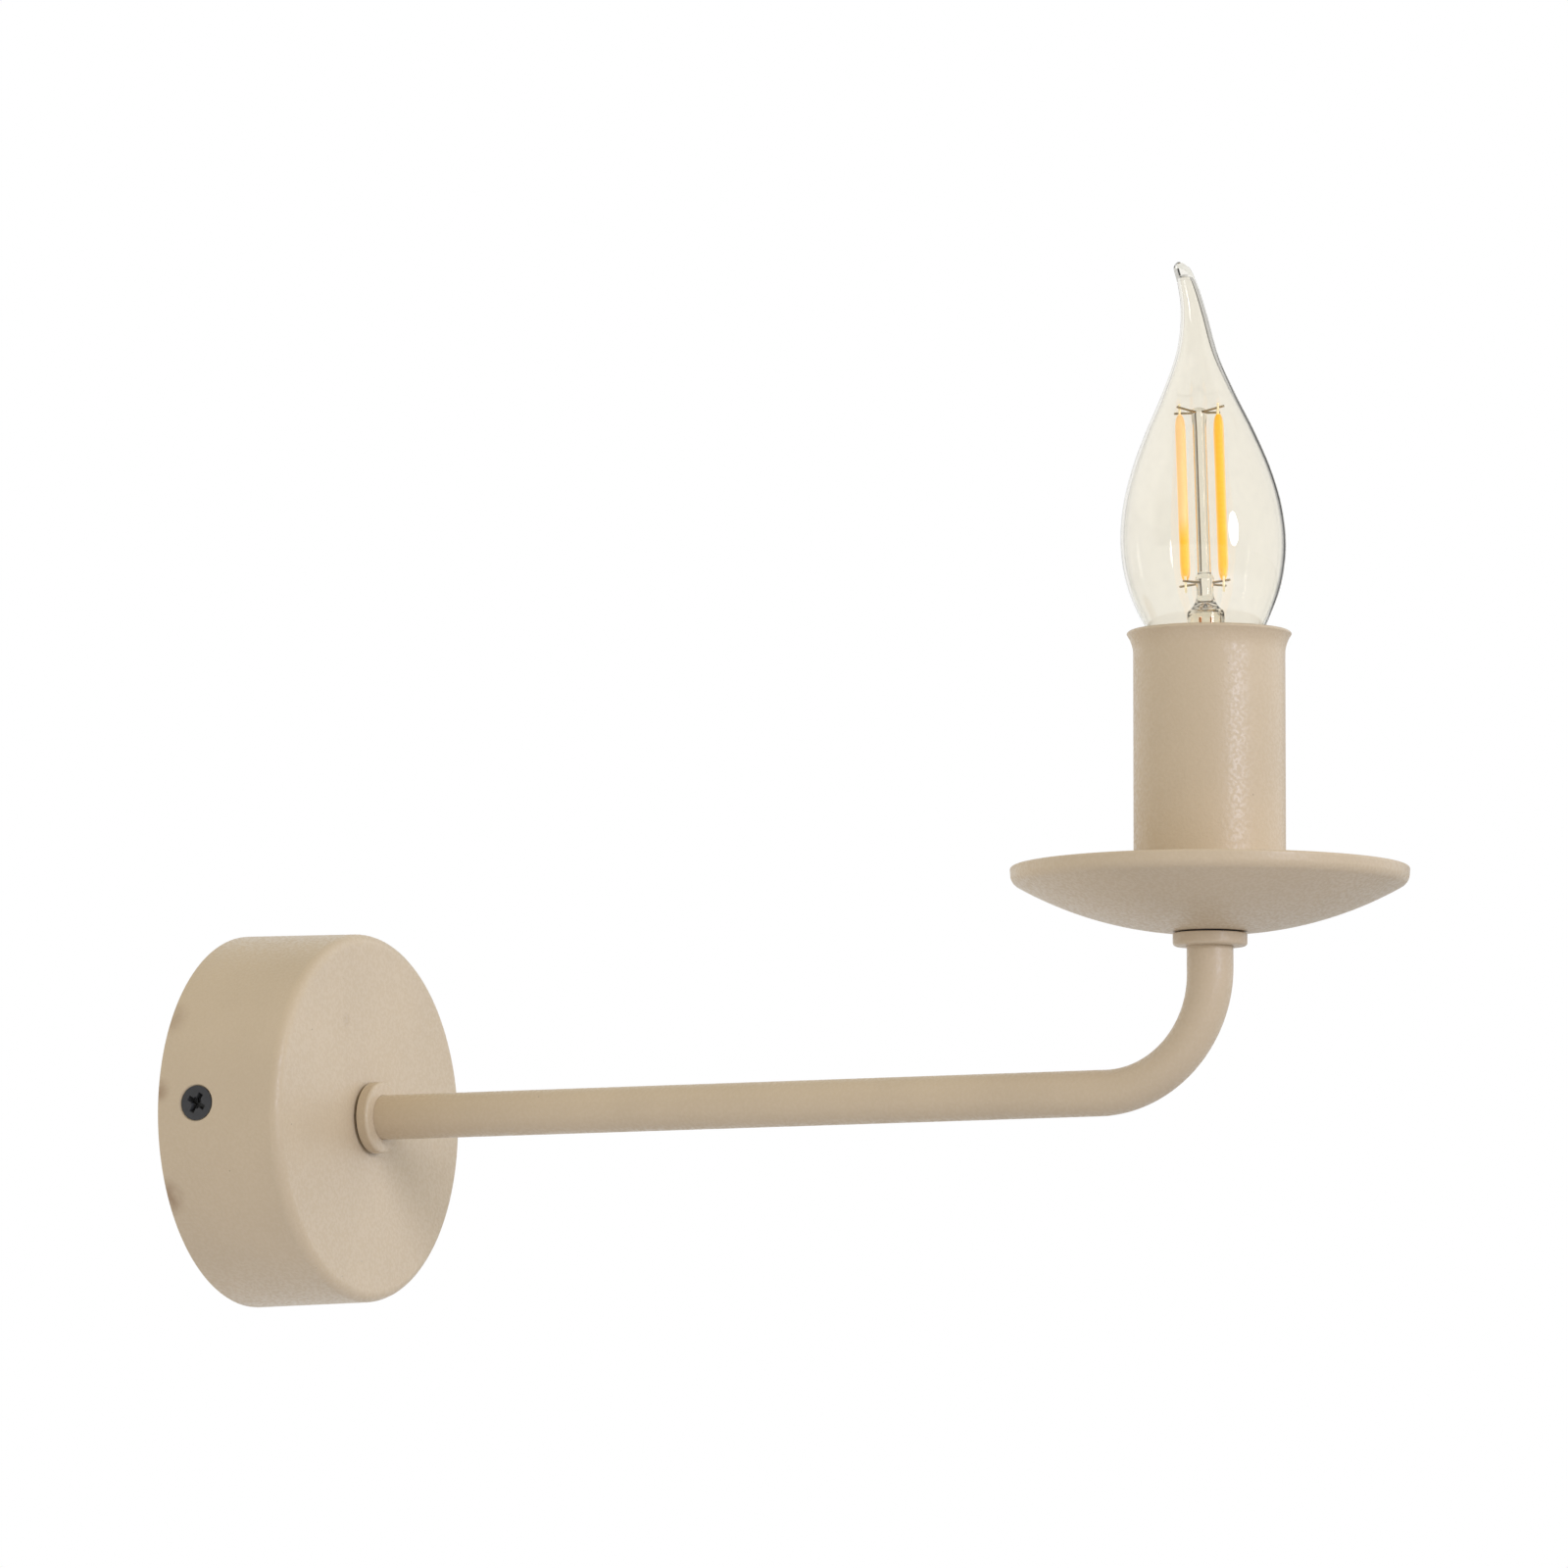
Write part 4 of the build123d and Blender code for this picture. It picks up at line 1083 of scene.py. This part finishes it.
@dataclass
class CandleCup:
    """The drip dish, the candle sleeve and what clamps them."""

    dish_wall: float = 1.2 * MM
    dish_sag: float = 0.35 * MM
    dish_floor_radius: float = 9.4 * MM
    dish_belly: float = 0.31
    dish_rim_height: float = 3.2 * MM
    dish_rim_lean: float = 0.25 * MM
    dish_corner: float = 2.4 * MM
    dish_inner_corner: float = 1.2 * MM
    dish_inner_lift: float = 0.2 * MM
    dish_lip: float = 0.55 * MM
    sleeve_wall: float = 1.0 * MM
    flare_height: float = 4.5 * MM
    flare_reach: float = 1.5 * MM
    sleeve_corner: float = 0.9 * MM
    sleeve_inner_corner: float = 0.4 * MM
    sleeve_lip: float = 0.3 * MM
    collar_edge: float = 0.7 * MM
    gap_edge: float = 0.1 * MM
    washer_edge: float = 0.15 * MM

    def build(self) -> None:
        """Make and dress every piece of the candle cup."""
        self.dish()
        self.sleeve()
        turned_ring("dish_collar_ring", "dish_collar", SAND_COAT, self.collar_edge, -UP)
        turned_ring("dish_washer_ring", "dish_lock_washer", BLACK_ZINC, self.gap_edge, UP, self.dish_sag)
        turned_ring("sleeve_washer_ring", "sleeve_washer", ZINC_STEEL, self.washer_edge, UP)
        soften_node("sleeve_lock_nut", ZINC_STEEL, 0.15 * MM)

    def dish(self) -> None:
        """The pressed dish: flat floor, bowed belly, short rim with a rounded lip."""
        box = Box.of("drip_dish")
        radius, low, high = box.size.x / 2, box.low.z, box.high.z
        bottom, inside = low - self.dish_sag, radius - self.dish_wall
        foot = Vector((radius - self.dish_rim_lean, high - self.dish_rim_height))
        outline = Outline().to(TUBE_HOLE, bottom).follow(self._belly(bottom, foot, 0.0)[:-1])
        outline.to(*foot, self.dish_corner).to(radius, high, self.dish_lip).to(inside, high, self.dish_lip)
        inner = self._belly(low, foot, self.dish_wall)[::-1]
        lift = inner[0][1] + self.dish_inner_lift
        outline.to(inside - self.dish_rim_lean, lift, self.dish_inner_corner)
        outline.follow(inner[1:]).to(TUBE_HOLE, low + self.dish_wall)
        shape = Shape().turn(outline, steps=160, place=Matrix.Translation(CANDLE))
        shape.piece("dish_shell", Body.LAMP, SAND_COAT, ["drip_dish"])

    def _belly(self, low: float, foot: Vector, inset: float) -> list[Pair]:
        """Points on the bowed belly, an arc through three points from the floor's edge to the rim's foot.

        Args:
            low: the level of the floor's underside.
            foot: where the rim starts, as radius and height.
            inset: how far inside the outer face the points lie.

        Returns:
            The points as radius and height.
        """
        start = Vector((self.dish_floor_radius, low))
        middle = Vector(((start.x + foot.x) / 2, low + (foot.y - low) * self.dish_belly))
        a, b = middle - start, foot - start
        cross = 2 * (a.x * b.y - a.y * b.x)
        aa, bb = a.length_squared, b.length_squared
        arm = Vector(((b.y * aa - a.y * bb) / cross, (a.x * bb - b.x * aa) / cross))
        centre = start + arm
        first, last = (atan2(spot.y - centre.y, spot.x - centre.x) for spot in (start, foot))
        return sweep_points(centre, arm.length - inset, first, last, steps=20)

    def sleeve(self) -> None:
        """The candle sleeve: a closed tube with a flared and rounded mouth."""
        box = Box.of("candle_sleeve")
        low, high = box.low.z, box.high.z
        floor = low + self.sleeve_wall
        turn = 2 * atan2(self.flare_reach, self.flare_height)
        bow = self.flare_height / sin(turn)
        radius = box.size.x / 2 - bow * (1 - cos(turn))
        middle = (radius + bow, high - self.flare_height)
        outer = sweep_points(middle, bow, pi, pi - turn, steps=14)
        inner = sweep_points(middle, bow + self.sleeve_wall, pi - turn, pi, steps=14)
        outline = Outline().to(TUBE_HOLE, low).to(radius, low, self.sleeve_corner).follow(outer[:-1])
        outline.to(*outer[-1], self.sleeve_lip).to(*inner[0], self.sleeve_lip).follow(inner[1:])
        outline.to(radius - self.sleeve_wall, floor, self.sleeve_inner_corner).to(TUBE_HOLE, floor)
        shape = Shape().turn(outline, steps=144, place=Matrix.Translation(CANDLE))
        shape.piece("sleeve_shell", Body.LAMP, SAND_COAT, ["candle_sleeve"])


@dataclass
class Lampholder:
    """The lampholder inside the sleeve."""

    wall: float = 0.42 * MM
    bore: float = 6.625 * MM
    flange_inner: float = 5.2 * MM
    shell_corner: float = 0.3 * MM
    plain_run: float = 1 * MM
    margin: float = 0.2 * MM

    def build(self) -> None:
        """Make and dress every piece of the lampholder."""
        self.screw_shell()
        soften_node("lampholder_cap", BLACK_PLASTIC, 0.3 * MM)
        soften_node("lampholder_body", BLACK_PLASTIC, 0.25 * MM)
        dress(WHITE_PLASTIC, "lampholder_core")
        dress(BRASS, "lampholder_live_contact", "lampholder_neutral_contact")
        dress(ZINC_STEEL, "lampholder_grub_screw", "lampholder_terminal_screws")

    def screw_shell(self) -> None:
        """The nickel lining with its rolled thread."""
        box = Box.of("lampholder_screw_shell")
        low, high, flange = box.low.z, box.high.z, box.size.x / 2
        step, outside = low + self.wall, self.bore + self.wall
        outline = Outline().to(self.flange_inner, low).to(flange, low).to(flange, step)
        outline.to(outside, step, self.shell_corner).to(outside, high, steps=90)
        outline.to(self.bore, high).to(self.bore, step, steps=90).to(self.flange_inner, step)
        shape = Shape().turn(outline, place=Matrix.Translation(CANDLE))
        ends = (step + self.plain_run, high + Thread.pitch)
        walls = (self.bore - self.margin, outside + self.margin)
        shape.move(Thread(ends, walls, RunOut.RIDGE).rolled)
        shape.piece("holder_threaded_shell", Body.LAMP, NICKEL, ["lampholder_screw_shell"], even=False)


@dataclass
class Bulb:
    """The flame bulb: screw cap, blown glass, stem and filaments."""

    cap_radius: float = 6.545 * MM
    cap_wall: float = 0.3 * MM
    cap_curl: float = 1.0 * MM
    cap_corner: float = 0.8 * MM
    cap_margin: float = 0.1 * MM
    skirt_height: float = 5.0 * MM
    glass_in_cap: float = 4.3 * MM
    glass_length: float = 99.1 * MM
    glass_radius: float = 17.8 * MM
    glass_wall: float = 0.7 * MM
    lean: float = 1.8
    lean_heading: float = 115.1
    hook_start: float = 0.788
    hook_reach: float = 3.15 * MM
    hook_power: float = 2.8
    stick_spread: float = 4.1 * MM
    stick_radius: float = 1.05 * MM
    stick_base: float = 30.2 * MM
    stick_length: float = 34.9 * MM
    stick_taper: float = 3.0 * MM
    stick_end: Table = ((0.0, 0.0), (0.36, 0.02), (0.56, 0.28), (0.83, 0.95), (1.0, 1.9))
    pin_radius: float = 0.25 * MM
    pin_length: float = 2.4 * MM
    pin_bite: float = 0.3 * MM
    cross_height: float = 66.7 * MM
    cross_offset: float = 0.55 * MM
    cross_overhang: float = 1.2 * MM
    wire_radius: float = 0.25 * MM
    wire_start: float = 0.9 * MM
    wire_drop: float = 0.6 * MM
    throat_start: float = 0.951
    throat: Table = ((0.9594, 1.27), (0.9643, 1.16), (0.9683, 0.89), (0.9711, 0.48), (0.972, 0.0))
    outline: Table = (
        (0.0, 0.337), (0.045, 0.354), (0.092, 0.42), (0.147, 0.573), (0.206, 0.748), (0.283, 0.922),
        (0.369, 1.0), (0.455, 0.969), (0.54, 0.849), (0.626, 0.661), (0.713, 0.437), (0.799, 0.25),
        (0.885, 0.158), (0.95, 0.12), (0.983, 0.103), (0.994, 0.068), (1.0, 0.02),
    )
    stem_hollow: Table = (
        (0.0, 24.6), (0.5, 24.5), (1.2, 24.05), (2.0, 23.55), (2.8, 23.0), (3.25, 22.4), (3.42, 21.6),
        (3.42, 20.0),
    )
    stem_foot: Table = ((3.42, 6.0), (4.25, 0.0), (5.05, 0.0), (4.0, 6.0))
    stem_shoulder: Table = (
        (4.0, 20.0), (4.0, 22.3), (3.88, 23.0), (3.5, 23.5), (2.9, 24.05), (2.4, 24.75), (2.05, 25.6),
        (1.85, 26.5), (1.8, 27.4), (1.85, 28.4), (2.05, 29.6), (2.0, 30.4), (1.45, 31.3),
    )
    stem_bead: Table = (
        (1.45, 61.0), (1.45, 63.5), (1.6, 64.8), (1.6, 66.0), (1.3, 66.85), (0.7, 67.15), (0.0, 67.2),
    )

    def __post_init__(self) -> None:
        """Work out where the leaning glass stands."""
        base = Box.of("bulb_cap_shell").high.z - self.glass_in_cap
        heading = radians(self.lean_heading)
        lean = radians(self.lean)
        towards = Vector((cos(heading), sin(heading), 0))
        x_axis = towards * cos(lean) - UP * sin(lean)
        z_axis = towards * sin(lean) + UP * cos(lean)
        turn = Matrix((x_axis, z_axis.cross(x_axis), z_axis)).transposed().to_4x4()
        self.place = Matrix.Translation(CANDLE + UP * base) @ turn

    def build(self) -> None:
        """Make and dress every piece of the bulb."""
        self.cap_shell()
        self.glass()
        self.stem()
        self.filaments()
        soften_node("bulb_centre_contact", NICKEL, 0.1 * MM, Body.LIFT)
        dress(BLACK_GLASS, "bulb_cap_insulator")
        dress(CEMENT, "bulb_cement")
        dress(CIRCUIT_BOARD, "bulb_driver")
        dress(BLACK_PLASTIC, "bulb_driver_components")
        self.support_wires()
        dress(FILAMENT_WIRE, "bulb_lower_leads")
        dress(COPPER, "bulb_lead_wires")

    def cap_shell(self) -> None:
        """The nickel screw cap with its rolled thread and plain skirt."""
        box = Box.of("bulb_cap_shell")
        low, high, skirt = box.low.z, box.high.z, box.size.x / 2
        inner, lining = self.cap_radius - self.cap_wall, skirt - self.cap_wall
        curl = low + self.cap_curl
        shoulder = high - self.skirt_height
        cone = shoulder - (skirt - self.cap_radius)
        insulator = Box.of("bulb_cap_insulator").size.x / 2 + SLIP
        outline = Outline().to(insulator, low).to(self.cap_radius, curl).to(self.cap_radius, cone, steps=80)
        outline.to(skirt, shoulder, self.cap_corner).to(skirt, high).to(lining, high)
        outline.to(lining, shoulder, self.cap_corner).to(inner, cone)
        outline.to(inner, curl, steps=80).to(insulator, curl)
        shape = Shape().turn(outline, place=Matrix.Translation(CANDLE))
        walls = (inner - self.cap_margin, self.cap_radius + self.cap_margin)
        shape.move(Thread((curl, cone), walls, RunOut.GROOVE).rolled)
        shape.piece("cap_threaded_shell", Body.BULB, NICKEL, ["bulb_cap_shell"], even=False)

    def _hooked(self, spot: Vector) -> Vector:
        """A point of the straight glass after its tip has been bent aside."""
        past = max(0.0, spot.z / self.glass_length - self.hook_start) / (1 - self.hook_start)
        return self.place @ (spot + Vector((self.hook_reach * past**self.hook_power, 0, 0)))

    def glass(self) -> None:
        """The blown flame with an inner wall and a solid bent tip."""
        outer = [(width * self.glass_radius, share * self.glass_length) for share, width in self.outline]
        inner = [(radius - self.glass_wall, height) for radius, height in outer]
        inner = [spot for spot in inner if spot[1] < self.throat_start * self.glass_length]
        inner += [(radius * MM, share * self.glass_length) for share, radius in self.throat]
        outline = Outline().through(inner[::-1], steps=11)
        outline.through(outer + [(0.0, self.glass_length)], steps=11)
        shape = Shape().turn(outline, closed=False, steps=192)
        shape.move(self._hooked)
        shape.piece("flame_glass", Body.BULB, BULB_GLASS, ["bulb_glass"], sharp=70, even=False)

    def stem(self) -> None:
        """The glass stem: flared tube, pinched shoulder, the rod and the bead that holds the wires."""
        bead = in_metres(self.stem_bead)
        outline = Outline().through(in_metres(self.stem_hollow), steps=6).follow(in_metres(self.stem_foot))
        outline.through(in_metres(self.stem_shoulder), steps=6).to(*bead[0], steps=60).through(bead, steps=5)
        shape = Shape().turn(outline, closed=False, steps=48, place=self.place)
        shape.piece("stem_rod", Body.BULB, STEM_GLASS, ["bulb_stem"], sharp=60, even=False)

    def filaments(self) -> None:
        """Four sticks with tapered ends, and the bare pins that hold them."""
        sticks, pins = Shape(), Shape()
        taper = in_metres(self.stick_end) + [(self.stick_radius, self.stick_taper)]
        top = [(radius, self.stick_length - height) for radius, height in reversed(taper)]
        outline = Outline().through(taper, steps=4).through(top, steps=4)
        for x, y in CORNERS:
            foot = Vector((x * self.stick_spread, y * self.stick_spread, self.stick_base))
            low, high = self.place @ foot, self.place @ (foot + UP * self.stick_length)
            rise = (high - low).normalized()
            sticks.turn(outline, closed=False, steps=24, place=self.place @ Matrix.Translation(foot))
            pins.rod(self.pin_radius, low - rise * self.pin_length, low + rise * self.pin_bite)
            pins.rod(self.pin_radius, high - rise * self.pin_bite, high + rise * self.pin_length)
        sticks.piece("filament_sticks", Body.BULB, PHOSPHOR, ["bulb_filaments"])
        pins.piece("filament_pins", Body.BULB, PHOSPHOR)

    def support_wires(self) -> None:
        """Four short wires from the bead to the tops of the sticks, each laid beside its pin."""
        wires = Shape()
        reach = self.stick_spread * sqrt(2) + self.cross_overhang
        for x, y in CORNERS:
            outward = Vector((x, y, 0)).normalized()
            aside = Vector((-y, x, 0)).normalized() * self.cross_offset
            start = outward * self.wire_start + UP * (self.cross_height - self.wire_drop)
            end = outward * reach + aside + UP * self.cross_height
            wires.rod(self.wire_radius, self.place @ start, self.place @ end)
        wires.piece("support_wires", Body.BULB, FILAMENT_WIRE, ["bulb_support_cross"])


@dataclass
class Studio:
    """The camera of the photograph, a soft light, a white room and a pale floor.

    The backdrop, the gaps and the turns are ranges of how far a direction goes to the camera's
    right, away from it, or up. Gaps are dark strips that only show through glass, as its contours.
    """

    camera_place: Vector = Vector((-1.84715, -1.10318, -0.14204))
    camera_heading: float = -62.3347
    camera_pitch: float = 5.817
    camera_roll: float = 0.0927
    focal_length: float = 219.01
    sensor: float = 36.0
    beyond: Vector = Vector((0.8855, 0.4642, 0.0))
    right: Vector = Vector((0.4642, -0.8857, 0.0))
    ambient: Colour = (0.69, 0.665, 0.562)
    fills: tuple[tuple[Vector, float, Colour], ...] = (
        (Vector((-0.249, 0.948, 0.2)), 0.3, (1.14, 1.15, 1.18)),
        (Vector((0.66, -0.5, 0.56)), 0.6, (0.95, 0.93, 0.9)),
        (Vector((0.95, -0.3, 0.12)), 0.55, (1.92, 2.08, 2.3)),
    )
    fill_full: float = 0.95
    backdrop_end: Pair = (0.33, 0.26)
    backdrop_start: Pair = (-0.4, -0.1)
    backdrop_top: Pair = (0.8, 0.6)
    backdrop_gloss: float = 0.87
    room: float = 0.6
    room_gloss: Pair = (0.2, 1.4)
    gloss_turn: Pair = (0.45, 0.75)
    gap_right: Pair = (0.29, 0.44)
    gap_left: Pair = (-0.53, -0.43)
    gap_left_share: float = 0.45
    gap_level: float = 0.05
    gap_ahead: Pair = (0.0, 0.3)
    gap_soft: float = 0.03
    key_heading: Vector = Vector((-0.345, -0.93, 0.18))
    key_distance: float = 1.6
    key_size: Pair = (0.36, 0.56)
    key_power: float = 10.0
    key_colour: Colour = (0.94, 1.0, 1.25)
    floor_level: float = -0.32
    floor_reach: float = 12.0
    floor_left: Colour = (0.78, 0.78, 0.85)
    floor_right: Colour = (0.27, 0.255, 0.25)
    floor_turn: Pair = (-0.35, 0.75)
    floor_pale: Colour = (0.92, 0.92, 0.92)
    floor_dull: float = 0.4
    floor_fade: Pair = (0.0, 2.4)
    floor_cloud: Pair = (0.3, 0.02)
    floor_roughness: float = 0.9

    def build(self) -> None:
        """Set up the camera, the world, the light and the floor."""
        self.camera()
        self.world()
        self.key()
        self.floor()
        bpy.context.scene.view_settings.view_transform = "Standard"

    def camera(self) -> None:
        """The photograph's camera."""
        data = bpy.data.cameras.new("camera")
        data.lens = self.focal_length
        data.sensor_width = self.sensor
        data.clip_end = 100.0
        camera = bpy.data.objects.new("camera", data)
        turn = Matrix.Rotation(radians(self.camera_heading), 4, "Z")
        tilt = Matrix.Rotation(radians(90 + self.camera_pitch), 4, "X")
        roll = Matrix.Rotation(radians(self.camera_roll), 4, "Z")
        camera.matrix_world = Matrix.Translation(self.camera_place) @ turn @ tilt @ roll
        bpy.context.scene.collection.objects.link(camera)
        bpy.context.scene.camera = camera

    def world(self) -> None:
        """White where it is seen, a plain level where it lights, and a dimmer room in gloss and glass."""
        world = bpy.data.worlds.new("studio")
        bpy.context.scene.world = world
        graph = Graph(world)
        camera, glossy, through = graph.rays()
        right, ahead, up = (graph.along(way) for way in (self.right, self.beyond, UP))
        white = right.rise(*self.backdrop_end) * ahead.rise(*self.backdrop_start)
        white = white * up.rise(*self.backdrop_top)
        low, high = self.room_gloss
        gloss = right.rise(*self.gloss_turn) * (high - low) + low
        gloss = white * (self.backdrop_gloss - gloss) + gloss
        gap = self._band(right, self.gap_left) * self.gap_left_share
        gap = gap.largest(self._band(right, self.gap_right)) * ahead.rise(*self.gap_ahead)
        clear = (white * (1 - self.room) + self.room) * (1 - gap * (1 - self.gap_level))
        shown = camera.largest(through * (clear - gloss) + gloss)
        seen = camera.largest(glossy).largest(through)
        light = self.ambient
        for way, start, colour in self.fills:
            light = graph.mix(graph.along(way).rise(start, self.fill_full), light, colour)
        tone = graph.mix(seen, light, graph.mix(shown, BLACK, WHITE))
        graph.fill(graph.found("BACKGROUND"), {"Color": tone, "Strength": 1.0})

    def _band(self, value: Value, ends: Pair) -> Value:
        """1 between two ends of a value and 0 outside them."""
        (low, high), soft = ends, self.gap_soft
        return value.rise(low - soft, low + soft) * value.rise(high + soft, high - soft)

    def key(self) -> None:
        """A large oval soft box that looks at the middle of the object."""
        data = bpy.data.lights.new("key", "AREA")
        data.shape = "ELLIPSE"
        data.size, data.size_y = self.key_size
        data.energy = self.key_power
        data.color = self.key_colour
        lamp = bpy.data.objects.new("key", data)
        towards = self.key_heading.normalized()
        middle = (cad_box[0] + cad_box[1]) / 2
        lamp.matrix_world = along(middle + towards * self.key_distance, towards)
        bpy.context.scene.collection.objects.link(lamp)

    def floor(self) -> None:
        """A pale floor that keeps the lamp's shadow, fades into the white and hides nothing from below."""
        sheet = Shape()
        place = Matrix.Translation((0, 0, self.floor_level))
        bmesh.ops.create_grid(sheet.mesh, x_segments=1, y_segments=1, size=self.floor_reach, matrix=place)
        floor = sheet.loose("floor")
        graph = Graph(bpy.data.materials.new("floor_paper"))
        camera, glossy, through = graph.rays()
        grain, depth = self.floor_cloud
        # Painted shade: where the floor lights the lamp, and in part where it shows in gloss, it is darker
        # towards the right, so less light comes from below on that side; the camera and the glass see it
        # pale.
        side = graph.along(self.right).rise(*self.floor_turn)
        seen = camera.largest(glossy * (1 - side * self.floor_dull)).largest(through)
        tone = graph.mix(side, self.floor_left, self.floor_right)
        tone = graph.mix(seen - graph.noise(grain, 2.0) * depth, tone, self.floor_pale)
        graph.surface(base_color=tone, roughness=self.floor_roughness)
        floor.data.materials.append(graph.owner)
        below = graph.value("NewGeometry", output="Backfacing")
        away = graph.vector("LENGTH", graph.place).rise(*self.floor_fade)
        paper, clear = graph.found("BSDF_PRINCIPLED").outputs[0], graph.node("BsdfTransparent").outputs[0]
        mixed = graph.node("MixShader", {0: below.largest(camera * away), 1: paper, 2: clear})
        graph.fill(graph.found("OUTPUT_MATERIAL"), {0: mixed.outputs[0]})


def main() -> None:
    """Build the lamp's looks and the studio."""
    logging.basicConfig(level=logging.INFO, format="%(name)s %(message)s")
    for assembly in (Canopy(), Arm(), CandleCup(), Lampholder(), Bulb(), Studio()):
        log.info("building %s", type(assembly).__name__)
        assembly.build()


if __name__ == "__main__":
    main()
